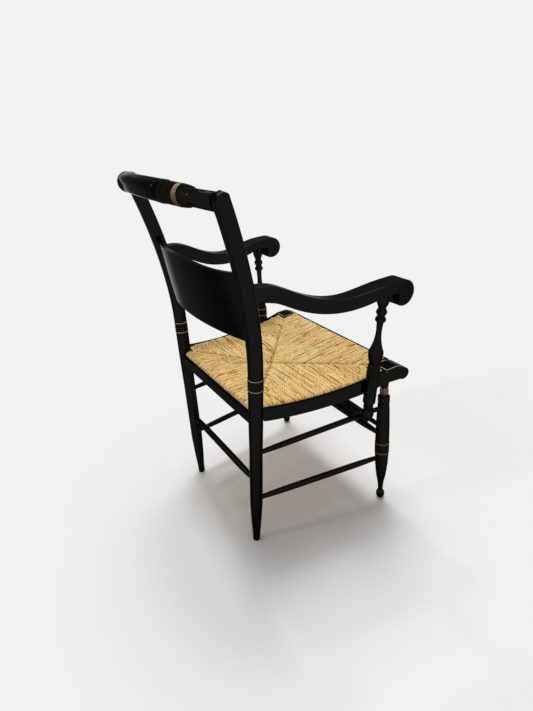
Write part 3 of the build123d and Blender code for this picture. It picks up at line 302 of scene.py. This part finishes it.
def gilding(shade, point, normal_z, pale):
    """The gold's colour: flakes, with painted light that makes it paler where the surface faces
    up and browner where it faces down.
    """
    flake = noise(shade, point, 900.0, 3.0).step(0.35, 0.68)
    # Painted light: the gold's tone follows how far the surface faces up.
    flakes_and_painted_light = (flake * 0.5 + pale * 0.9) * (normal_z * 0.8 + 0.35).most(0.0)
    return (flakes_and_painted_light * flakes_and_painted_light).least(1.0).mix(GOLD_DARK_AND_SHADED, GOLD_PALE_AND_LIT)


def painted(name, gold=None, pale=0.3, roughness=0.10, worn=0.10, lift=0.0):
    """Black paint. gold is a function that makes a mask from x, y and z; pale is how
    fresh the gold is, worn how dull the tops are and how far a painted
    sheen lightens them, and lift how dull all of it is."""
    material, shade, bsdf = start_material(name)
    point = object_point(shade)
    cloud = noise(shade, point, 9.0)
    grain = noise(shade, stretched(shade, point, GRAIN_STRETCH), 1.0, 4.0)
    speck = noise(shade, point, 420.0, 2.0)
    normal_z = part_of(shade, shade.node("NewGeometry", output=NORMAL_OUTPUT), 2)
    # Painted sheen and wear: faces that point up are mixed towards a light blue-grey, standing
    # in for the mirrored sky as well as real rubbing.
    wear_and_sheen = normal_z.step(0.6, 0.98) * (cloud.step(0.3, 0.7) * 0.7 + 0.3) * worn
    wear_and_sheen = wear_and_sheen * (speck.step(0.3, 0.7) * 0.6 + 0.4) + cloud.step(0.4, 0.8) * lift
    colour = wear_and_sheen.mix(cloud.step(0.45, 0.7).mix(BLACK, WARM_BLACK), WORN_AND_SHEEN_GREY)
    rough = roughness + (cloud - 0.5) * 0.10 + (grain - 0.5) * 0.08 + wear_and_sheen * 0.3
    if gold:
        mask = gold([part_of(shade, point, axis) for axis in range(3)])
        chipped = mask * (1 - noise(shade, point, 150.0, 4.0).step(0.66, 0.72))
        colour = chipped.mix(colour, gilding(shade, point, normal_z, pale))
        rough = rough + chipped * 0.18
    bump = shade.node("Bump", {}, {"Strength": 0.12, "Distance": 0.0006,
                                   "Height": grain * 0.5 + speck * 0.25})
    connect(colour, bsdf, "Base Color")
    connect(rough, bsdf, "Roughness")
    connect(bump, bsdf, "Normal")
    bsdf.inputs["Metallic"].default_value = METAL_SHARE
    bsdf.inputs["Specular Tint"].default_value = (EDGE_TINT, EDGE_TINT, EDGE_TINT, 1.0)
    bsdf.inputs["Specular IOR Level"].default_value = SPECULAR_LEVEL
    return material


paints = {
    "plain": painted("black_paint"),
    "back_post": painted("black_paint_back_post", back_post_gold, pale=0.9),
    "front_leg": painted("black_paint_front_leg", front_leg_gold, pale=0.15),
    "arm_post": painted("black_paint_arm_post", arm_post_gold, pale=0.9),
    "crest": painted("black_paint_crest", crest_gold, pale=0.3),
    "block": painted("black_paint_block", block_gold, pale=0.8),
    "arm": painted("black_paint_arm", roughness=0.2, worn=0.5, lift=0.1),
}
print(len(paints), "paints")

# %% [markdown]
# ## Metal and hidden wood
# Nails and screws barely show, and the rails inside the rush don't show at all, but
# each still gets its own finish, so that the model is right when it is taken apart.

# %% Steel and bare wood
WOOD_STRETCH = (12.0, 120.0, 120.0)                        # long along the seat's width


def steel():
    """Dull steel: metallic, with a fine uneven roughness."""
    material, shade, bsdf = start_material("nail_steel")
    cloud = noise(shade, object_point(shade), 300.0)
    colour = cloud.step(0.3, 0.7).mix((0.20, 0.19, 0.18), (0.36, 0.35, 0.34))
    connect(colour, bsdf, "Base Color")
    connect(0.35 + cloud * 0.2, bsdf, "Roughness")
    bsdf.inputs["Metallic"].default_value = 1.0
    return material


def bare_wood():
    """Unpainted hardwood, in long streaks."""
    material, shade, bsdf = start_material("bare_wood")
    grain = noise(shade, stretched(shade, object_point(shade), WOOD_STRETCH), 1.0, 5.0)
    colour = grain.step(0.3, 0.7).mix((0.36, 0.22, 0.11), (0.58, 0.40, 0.22))
    connect(colour, bsdf, "Base Color")
    connect(0.5 + grain * 0.3, bsdf, "Roughness")
    return material


nail_steel, hidden_wood = steel(), bare_wood()
print("steel and wood ready")

# %% Give each CAD piece its finish
FINISH = {"back_post": "back_post", "front_leg": "front_leg", "arm_post": "arm_post",
          "crest_rail": "crest", "seat_block": "block", "arm": "arm"}
HIDDEN = ("seat_rail", "front_rail", "back_rail")
METAL = ("arm_screws", "arm_post_screws")


def finish_for(name):
    """The material of a CAD piece, by its name without its side."""
    plain = name.replace("left_", "").replace("right_", "")
    if plain in HIDDEN:
        return hidden_wood
    if plain in METAL:
        return nail_steel
    return paints[FINISH.get(plain, "plain")]


for name, piece in nodes.items():
    piece.data.materials.clear()
    piece.data.materials.append(finish_for(name))
print(len(nodes), "CAD pieces finished")

# %% [markdown]
# ## The shape of the rush seat
# A rush seat is wound round four rails. It makes four panels that fall towards the
# middle, where they meet in a cross of seams. Each strand crosses one panel at right
# angles to its rail, wraps over the rail, and comes back underneath.

# %% Seat lines
FRONT_EDGE, BACK_EDGE = -0.199 + SHIFT, 0.189 + SHIFT
MIDDLE_Y, HALF_Y = (FRONT_EDGE + BACK_EDGE) / 2, (BACK_EDGE - FRONT_EDGE) / 2
RIM, DIP, HOLLOW, BACK_DROP, THICK = 0.4165, 0.017, 0.010, 0.012, 0.033
CENTRE = np.array([0.0, 0.020 + SHIFT])
FRONT_CORNER = np.array([0.1985, -0.155 + SHIFT])
BACK_CORNER = np.array([0.180, 0.177 + SHIFT])
SIDE_BACK, SIDE_FRONT = np.array([0.2018, 0.175 + SHIFT]), np.array([0.2384, -0.157 + SHIFT])


def rim_height(y):
    """The rush's height at its edge: a parabola's dip between front and back, and a
    fall to the lower back rail close to it."""
    place = (y - MIDDLE_Y) / HALF_Y
    return RIM - DIP * np.clip(1 - place ** 2, 0, 1) - BACK_DROP * np.clip(place, 0, 1) ** 7


def seam_height(share, corner):
    """The height along a seam, from the centre (0) to a corner (1) of given height."""
    return corner - (corner - RIM + DIP + HOLLOW) * (1 - share) ** 1.15


def side_edge(y):
    """The side edge's x at a given y: a straight line that widens to the front."""
    share = (y - SIDE_BACK[1]) / (SIDE_FRONT[1] - SIDE_BACK[1])
    return SIDE_BACK[0] + (SIDE_FRONT[0] - SIDE_BACK[0]) * share


def seam_share(value, corner, axis):
    """How far along a seam, from centre to corner, a given x or y lies."""
    return np.clip((value - CENTRE[axis]) / (corner[axis] - CENTRE[axis]), 0, 1)


print("seat", round(BACK_EDGE - FRONT_EDGE, 3), "m deep")

# %% [markdown]
# ## The path of a strand
# All the strands of a panel are one array of points: strand, place along it, and
# place around it. A strand's centre line runs from its seam over the rail and back
# underneath. Rushes are leaves twisted together by hand, so no two steps between them
# are equal, and every line wanders a little.

# %% Places and centre lines
PITCH, PITCH_SPREAD = 0.0049, 0.10
TOP_POINTS, TURN_POINTS, UNDER_POINTS, AROUND = 24, 9, 6, 8
TURN_RADIUS = 0.0085                               # of the strand's bend over the rail
SEAM_SINK, SEAM_FADE = 0.0035, 0.004               # strands dive where they meet
rng = np.random.default_rng(1832)


def strand_places(start, end):
    """Uneven steps from start to end: rushes never lie quite side by side."""
    count = int((end - start) / PITCH * 1.3)
    steps = PITCH * (1 + PITCH_SPREAD * rng.normal(0, 1, count))
    places = start + np.cumsum(np.clip(steps, PITCH * 0.78, PITCH * 1.3))
    return places[places < end]


def strand_lines(inner, outer, inner_top, outer_top, under_drop):
    """Distance outwards and height along each strand, one row per strand: the top
    run, half a turn over the rail, and the run underneath."""
    reach = np.linspace(0, 1, TOP_POINTS) ** 0.9
    top_out = inner[:, None] + (outer - TURN_RADIUS - inner)[:, None] * reach
    top_z = inner_top[:, None] + (outer_top - inner_top)[:, None] * reach
    top_z = top_z - SEAM_SINK * np.exp(-(top_out - inner[:, None]) / SEAM_FADE)
    turn = np.linspace(0, 1, TURN_POINTS + 2)[1:-1]
    turn_out = (outer - TURN_RADIUS)[:, None] + TURN_RADIUS * np.sin(turn * np.pi) ** 0.7
    turn_z = outer_top[:, None] - TURN_RADIUS * (1 - np.cos(turn * np.pi)) \
        - (THICK - 2 * TURN_RADIUS) * turn
    under = np.linspace(0, 1, UNDER_POINTS)
    under_out = (outer - TURN_RADIUS)[:, None] + (inner - outer + TURN_RADIUS)[:, None] * under
    under_z = (outer_top - THICK)[:, None] - under_drop[:, None] * under
    return (np.concatenate([top_out, turn_out, under_out], 1),
            np.concatenate([top_z, turn_z, under_z], 1))


def wander(count, points, size, waves=3):
    """A smooth random offset for each strand: a few sines of random phase."""
    place = np.linspace(0, 1, points)[None, :]
    total = np.zeros((count, points))
    for wave in range(1, waves + 1):
        phase = rng.uniform(0, 2 * np.pi, (count, 1))
        strength = rng.normal(0, size / wave, (count, 1))
        total += strength * np.sin(2 * np.pi * wave * place * 1.3 + phase)
    return total


def strand_tone(count, points):
    """How aged each strand is: its own level, and quick changes along it."""
    level = rng.uniform(0.35, 0.65, (count, 1)) + wander(count, points, 0.30, 9)
    return np.clip(level, 0, 1)


print("strands", PITCH * 1000, "mm apart")

# %% [markdown]
# ## A tube along each path
# An oval is carried along every centre line at once. Each strand also gets a map: the
# first number is the distance along it and the second the way round it, so that its
# material can follow the twist.

# %% Tubes
def new_piece(name, points, faces):
    """An object at the origin, from lists of points and faces."""
    mesh = bpy.data.meshes.new(name)
    mesh.from_pydata(points, [], faces)
    piece = bpy.data.objects.new(name, mesh)
    bpy.context.collection.objects.link(piece)
    return piece


def tube_faces(count, points):
    """Quads between neighbouring ovals of each strand, and a face at both its ends."""
    start = (np.arange(count) * points * AROUND)[:, None, None]
    row = (np.arange(points - 1) * AROUND)[None, :, None]
    here, after = np.arange(AROUND), (np.arange(AROUND) + 1) % AROUND
    quads = np.stack(np.broadcast_arrays(start + row + here, start + row + AROUND + here,
                                         start + row + AROUND + after, start + row + after), -1)
    first = start[:, 0] + here
    last = start[:, 0] + (points - 1) * AROUND + here[::-1]
    return quads.reshape(-1, 4).tolist() + first.tolist() + last.tolist()


def strand_map(along):
    """Each quad's corners as distance along and share of the way round; ends get 0."""
    near, far, turn = along[:, :-1, None], along[:, 1:, None], np.arange(AROUND) / AROUND
    corners = [(near, turn), (far, turn), (far, turn + 1 / AROUND), (near, turn + 1 / AROUND)]
    marks = np.stack([np.stack(np.broadcast_arrays(u, v), -1) for u, v in corners], -2)
    ends = np.zeros((2 * len(along) * AROUND, 2))
    return np.concatenate([marks.reshape(-1, 2), ends])


def tube_mesh(name, centres, across, wide, high, tone):
    """Ovals carried along centre lines.  A point is the centre plus the sideways
    direction times wide * cos(a) plus the upward direction times high * sin(a)."""
    count, points = centres.shape[:2]
    length = np.linalg.norm(np.diff(centres, axis=1), axis=2)
    along = np.concatenate([np.zeros((count, 1)), np.cumsum(length, 1)], 1)
    along = along + rng.uniform(0, 40, (count, 1))
    run = np.gradient(centres, axis=1)
    run /= np.linalg.norm(run, axis=2, keepdims=True)
    lift = np.cross(across, run)
    lift /= np.linalg.norm(lift, axis=2, keepdims=True)
    angle = 2 * np.pi * np.arange(AROUND) / AROUND
    ring = centres[:, :, None] + (
        across[:, :, None] * (wide[..., None] * np.cos(angle))[..., None]
        + lift[:, :, None] * (high[..., None] * np.sin(angle))[..., None])
    piece = new_piece(name, ring.reshape(-1, 3).tolist(), tube_faces(count, points))
    mesh = piece.data
    mesh.polygons.foreach_set("use_smooth", np.ones(len(mesh.polygons), bool))
    layer = mesh.attributes.new("tone", "FLOAT", "POINT")
    layer.data.foreach_set("value", np.repeat(tone.reshape(-1), AROUND).astype(np.float32))
    layer = mesh.uv_layers.new(name="strand")
    layer.data.foreach_set("uv", strand_map(along).reshape(-1).astype(np.float32))
    return piece


print("each strand has", TOP_POINTS + TURN_POINTS + UNDER_POINTS, "ovals of", AROUND, "points")

# %% [markdown]
# ## Rush as a material
# Fresh rush is straw yellow and ages to orange brown, in streaks along the leaf. The
# streaks are a noise read in coordinates that turn with the strand: the way round it
# is a circle in the noise's space, and the circle moves on with the distance along.
# Grooves between the twisted leaves, darkened as painted shade, a slow noise in space
# and a number stored along every strand make the short, choppy dashes of hand-twisted rush.

# %% Rush material
# The last colour serves both for darker fibres and for painted shade in the grooves.
STRAW, AMBER, BROWN_AND_GROOVE_SHADE = (1.0, 0.78, 0.35), (0.90, 0.47, 0.10), (0.30, 0.11, 0.02)
TWIST, LEAVES = 42.0, 3.0                         # turns in a metre, leaves in a strand
CIRCLE, ADVANCE = 0.8, 80.0                       # of the spiral through the noise


def rush(name):
    """Twisted rush, from the map and the tone stored on its strands."""
    material, shade, bsdf = start_material(name)
    tone = shade.node("Attribute", {"attribute_name": "tone"}, output=2)
    strand = shade.node("UVMap", {"uv_map": "strand"})
    along, around = (part_of(shade, strand, axis) for axis in range(2))
    turn = (around + along * TWIST) * (2 * math.pi)
    spiral = shade.node("CombineXYZ", {}, {0: turn.math("COSINE", turn) * CIRCLE,
                                           1: turn.math("SINE", turn) * CIRCLE,
                                           2: along * ADVANCE})
    fibre = noise(shade, spiral, 1.0, 2.0, 0.6)
    leaf = turn.math("SINE", turn * LEAVES + fibre * 5.0) * 0.5 + 0.5
    patch = noise(shade, object_point(shade), 26.0, 3.0)
    age = tone * 0.4 + fibre * 1.5 + patch * 0.9 - 1.05
    # Painted shade: the grooves between the leaves are darkened towards brown, together with
    # randomly darker fibres.
    groove_shade = (1 - leaf).step(0.68, 0.98) * (0.2 + fibre * 0.9)
    dark_fibre_and_groove_shade = (fibre + tone * 0.2).step(0.64, 0.82).most(groove_shade)
    colour = (dark_fibre_and_groove_shade * 0.8).mix(age.step(0.1, 0.85).mix(STRAW, AMBER), BROWN_AND_GROOVE_SHADE)
    bump = shade.node("Bump", {}, {"Strength": 0.7, "Distance": 0.0008,
                                   "Height": leaf * 0.7 + fibre * 0.6})
    connect(colour, bsdf, "Base Color")
    connect(0.45 + fibre * 0.25, bsdf, "Roughness")
    connect(bump, bsdf, "Normal")
    bsdf.inputs["Specular IOR Level"].default_value = 0.3
    return material


twisted_rush = rush("twisted_rush")
print("rush material ready")

# %% [markdown]
# ## Winding the four panels
# The two side panels run from the seams out to the sides, and the front and back
# panels run from the seams to their rails. Where a strand starts is the crossing of
# its own line with a seam, found by simple proportion.

# %% Wind the panels
LINE_WANDER, WIDTH_WANDER = 0.0008, 0.00025
HEIGHT_WANDER, RIM_SPREAD = 0.0006, 0.0006
HALF_WIDTH, WIDTH_SPREAD, FLATNESS = 0.0026, 0.00028, 0.86
SEAM_GAP, CORNER_LAP = 0.0008, 0.003


def loose(places, points, height):
    """Lets straight strands stray sideways and up or down, by a smooth wander."""
    sideways = places[:, None] + wander(len(places), points, LINE_WANDER)
    return sideways, height + wander(len(places), points, HEIGHT_WANDER)


def wound(name, centres, across_axis, sign):
    """A panel's tubes and material, from its centre lines."""
    count, points = centres.shape[:2]
    across = np.zeros_like(centres)
    across[..., across_axis] = sign
    wide = HALF_WIDTH + rng.normal(0, WIDTH_SPREAD, (count, 1)) \
        + wander(count, points, WIDTH_WANDER, 5)
    tone = strand_tone(count, points)
    piece = tube_mesh(name, centres, across, wide, wide * FLATNESS, tone)
    piece.data.materials.append(twisted_rush)
    return piece


def wind_side(name, sign):
    """Strands that cross a side panel, from front to back."""
    y = strand_places(FRONT_CORNER[1] - CORNER_LAP, 0.168 + SHIFT)
    front = y < CENTRE[1]
    share = np.where(front, seam_share(y, FRONT_CORNER, 1), seam_share(y, BACK_CORNER, 1))
    corner_x = np.where(front, FRONT_CORNER[0], BACK_CORNER[0])
    corner_z = np.where(front, rim_height(FRONT_CORNER[1]), rim_height(BACK_CORNER[1]))
    outer = side_edge(y) + rng.uniform(0.0, 0.0012, len(y))
    rim = rim_height(y) - 0.0005 + rng.normal(0, RIM_SPREAD, len(y))
    out, z = strand_lines(share * corner_x + SEAM_GAP, outer, seam_height(share, corner_z),
                          rim, np.zeros(len(y)))
    sideways, z = loose(y, out.shape[1], z)
    return wound(name, np.stack([sign * out, sideways, z], -1), 1, sign)


def wind_end(name, corner, edge, top):
    """Strands that cross the front or back panel, from side to side."""
    sign = np.sign(edge - CENTRE[1])
    x = strand_places(-corner[0] - CORNER_LAP, corner[0] - 0.0005)
    share = seam_share(abs(x), corner, 0)
    inner = sign * (CENTRE[1] + share * (corner[1] - CENTRE[1])) + SEAM_GAP
    outer = np.full(len(x), sign * edge) + rng.uniform(-0.0006, 0.0004, len(x))
    rim = np.full(len(x), top) + rng.normal(0, RIM_SPREAD, len(x))
    out, z = strand_lines(inner, outer, seam_height(share, rim_height(corner[1])), rim,
                          top - rim_height(sign * inner))
    sideways, z = loose(x, out.shape[1], z)
    return wound(name, np.stack([sideways, sign * out, z], -1), 0, -sign)


panels = [wind_side("rush_left", 1), wind_side("rush_right", -1),
          wind_end("rush_front", FRONT_CORNER, FRONT_EDGE, RIM),
          wind_end("rush_back", BACK_CORNER, BACK_EDGE, RIM - BACK_DROP)]
print("strands' faces", sum(len(panel.data.polygons) for panel in panels))

# %% [markdown]
# ## The stuffing
# Between the upper and lower strands a rush seat is stuffed with broken leaves, so
# no light comes through the gaps; its brown, deeper than the rush, paints the shade
# in those gaps. The stuffing is a closed form under the strands: rays run from the
# centre to an outline, and each ray rises from the hollow in the middle to the height of the
# rim.

# %% Stuffing's outline
HALF_OUTLINE = [(0.196, -0.195), (0.196, -0.153), (0.233, -0.153), (0.2005, 0.160),
                (0.176, 0.166), (0.174, 0.185)]
OUTLINE = HALF_OUTLINE + [(-x, y) for x, y in reversed(HALF_OUTLINE)]
OUTLINE_STEP, STUFFING_RINGS = 0.008, 14
SINK = 0.0032                                      # below the strands' centre lines


def outline_points(corners, step):
    """Points at equal steps round a closed outline."""
    found = []
    for start, end in zip(corners, corners[1:] + corners[:1]):
        start, end = np.array(start), np.array(end)
        count = max(1, int(np.linalg.norm(end - start) / step))
        found.append(start + (end - start) * (np.arange(count) / count)[:, None])
    return np.concatenate(found) + [0.0, SHIFT]


edge = outline_points(OUTLINE, OUTLINE_STEP)
print(len(edge), "rays")

# %% Stuffing's mesh
def stuffing_faces(rays):
    """Quads of the top and bottom sheets, a wall between them, and two fans."""
    ray, after = np.arange(rays), (np.arange(rays) + 1) % rays
    row = (np.arange(STUFFING_RINGS - 1) * rays)[:, None]
    sheet = np.stack([row + ray, row + after, row + rays + after, row + rays + ray], -1)
    sheet = sheet.reshape(-1, 4)
    below = STUFFING_RINGS * rays                  # from a top point to the one under it
    rim = below - rays
    wall = np.stack([rim + ray, rim + after, rim + after + below, rim + ray + below], -1)
    top_fan = np.stack([np.full(rays, 2 * below), after, ray], -1)
    low_fan = np.stack([np.full(rays, 2 * below + 1), ray + below, after + below], -1)
    quads = np.concatenate([sheet, sheet[:, ::-1] + below, wall])
    return quads.tolist() + np.concatenate([top_fan, low_fan]).tolist()


def stuffing(edge):
    """Top and bottom sheets as rays times rings, joined at the outline: a height is
    the hollow's plus its share of the rise to the rim."""
    share = np.linspace(0, 1, STUFFING_RINGS + 1)[1:, None]
    plan = CENTRE + (edge - CENTRE)[None] * share[..., None]
    middle = RIM - DIP - HOLLOW
    top = middle + (rim_height(edge[:, 1])[None] - middle) * share - SINK
    lift = SINK + 0.001 - THICK
    low = rim_height(plan[..., 1]) + lift
    upper = np.concatenate([plan, top[..., None]], -1).reshape(-1, 3)
    lower = np.concatenate([plan, low[..., None]], -1).reshape(-1, 3)
    poles = [[*CENTRE, middle - SINK], [*CENTRE, rim_height(CENTRE[1]) + lift]]
    points = np.concatenate([upper, lower, poles])
    piece = new_piece("rush_stuffing", points.tolist(), stuffing_faces(len(edge)))
    piece.data.validate()
    return piece


def broken_leaves_in_shade():
    """The stuffing's dull, deep brown, which paints the shade in the gaps between the strands.
    """
    material, shade, bsdf = start_material("rush_shade")
    cloud = noise(shade, object_point(shade), 200.0)
    colour = cloud.step(0.3, 0.7).mix((0.26, 0.13, 0.04), (0.46, 0.27, 0.10))
    connect(colour, bsdf, "Base Color")
    connect(0.7 + cloud * 0.2, bsdf, "Roughness")
    return material


filling = stuffing(edge)
filling.data.materials.append(broken_leaves_in_shade())
print("stuffing faces", len(filling.data.polygons))

# %% Join the seat to the frame
for piece in (*panels, filling):
    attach(piece, "root")
    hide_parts("rush_seat")
print("rush seat in place")

# %% [markdown]
# ## Floor and sky
# The chair stands on a plain pale floor under a plain pale sky. What the camera and the
# gloss see of the sky is as bright as the lit floor, so the two meet without a line;
# everything else gets a dimmer sky, which leaves room for the lamps. Sky and lamps
# together light a level surface with about one unit, so colours come out as written.

# %% Floor
SKY, LAMP, WINDOW = 0.365, 0.36, 0.26              # shares of a level surface's light
FLOOR_COLOUR, FLOOR_REACH = 0.90, 60.0
floor = new_piece("floor", [(-FLOOR_REACH, -FLOOR_REACH, 0), (FLOOR_REACH, -FLOOR_REACH, 0),
                            (FLOOR_REACH, FLOOR_REACH, 0), (-FLOOR_REACH, FLOOR_REACH, 0)],
                  [(0, 1, 2, 3)])
material, shade, bsdf = start_material("floor_paper")
bsdf.inputs["Base Color"].default_value = (FLOOR_COLOUR, FLOOR_COLOUR, FLOOR_COLOUR, 1.0)
bsdf.inputs["Roughness"].default_value = 0.9
bsdf.inputs["Specular IOR Level"].default_value = 0.0
floor.data.materials.append(material)
print("floor laid")

# %% Sky
world = bpy.data.worlds.new("studio")
bpy.context.scene.world = world
world.use_nodes = True
tree = world.node_tree
path = tree.nodes.new("ShaderNodeLightPath")
camera_ray, glossy_ray, through_ray = (Shade(tree, path.outputs[name]) for name in (
    "Is Camera Ray", "Is Glossy Ray", "Is Transmission Ray"))
seen = camera_ray.most(glossy_ray).most(through_ray)
floor_level = FLOOR_COLOUR * (SKY + LAMP + WINDOW)
background = tree.nodes["Background"]
background.inputs["Color"].default_value = (1.0, 1.0, 1.0, 1.0)
tree.links.new((seen * (floor_level - SKY) + SKY).socket, background.inputs["Strength"])
print("floor's own level", round(floor_level, 3))

# %% [markdown]
# ## Lamps
# A broad lamp high on the far side casts the soft shadow. Three smaller ones stand for
# windows: they are small enough that the paint mirrors them as thin bright lines along
# the round rails. A lamp's strength follows from the share of light that it gives to
# the level floor, which is its strength times the sine of its elevation over pi.

# %% Lamps
LAMPS = (("key", 62.0, 74.0, LAMP, 32.0),          # azimuth, elevation, share, spread
         ("front_window", 54.0, 71.0, WINDOW * 0.70, 14.0),
         ("left_window", 80.0, 51.0, WINDOW * 0.15, 4.0),
         ("back_window", 166.0, 30.0, WINDOW * 0.15, 6.0))


def sun(name, azimuth, elevation, share, spread):
    """A lamp at infinity, in degrees. Azimuth 0 shines from the front of the chair."""
    azimuth, elevation = math.radians(azimuth), math.radians(elevation)
    lamp = bpy.data.lights.new(name, "SUN")
    lamp.energy, lamp.angle = share * math.pi / math.sin(elevation), math.radians(spread)
    piece = bpy.data.objects.new(name, lamp)
    toward = Vector((math.sin(azimuth) * math.cos(elevation),
                     -math.cos(azimuth) * math.cos(elevation), math.sin(elevation)))
    piece.rotation_mode = "QUATERNION"
    piece.rotation_quaternion = toward.to_track_quat("Z", "Y")
    bpy.context.collection.objects.link(piece)


for lamp in LAMPS:
    sun(*lamp)
bpy.context.scene.view_settings.view_transform = "Standard"
print(len(LAMPS), "lamps")
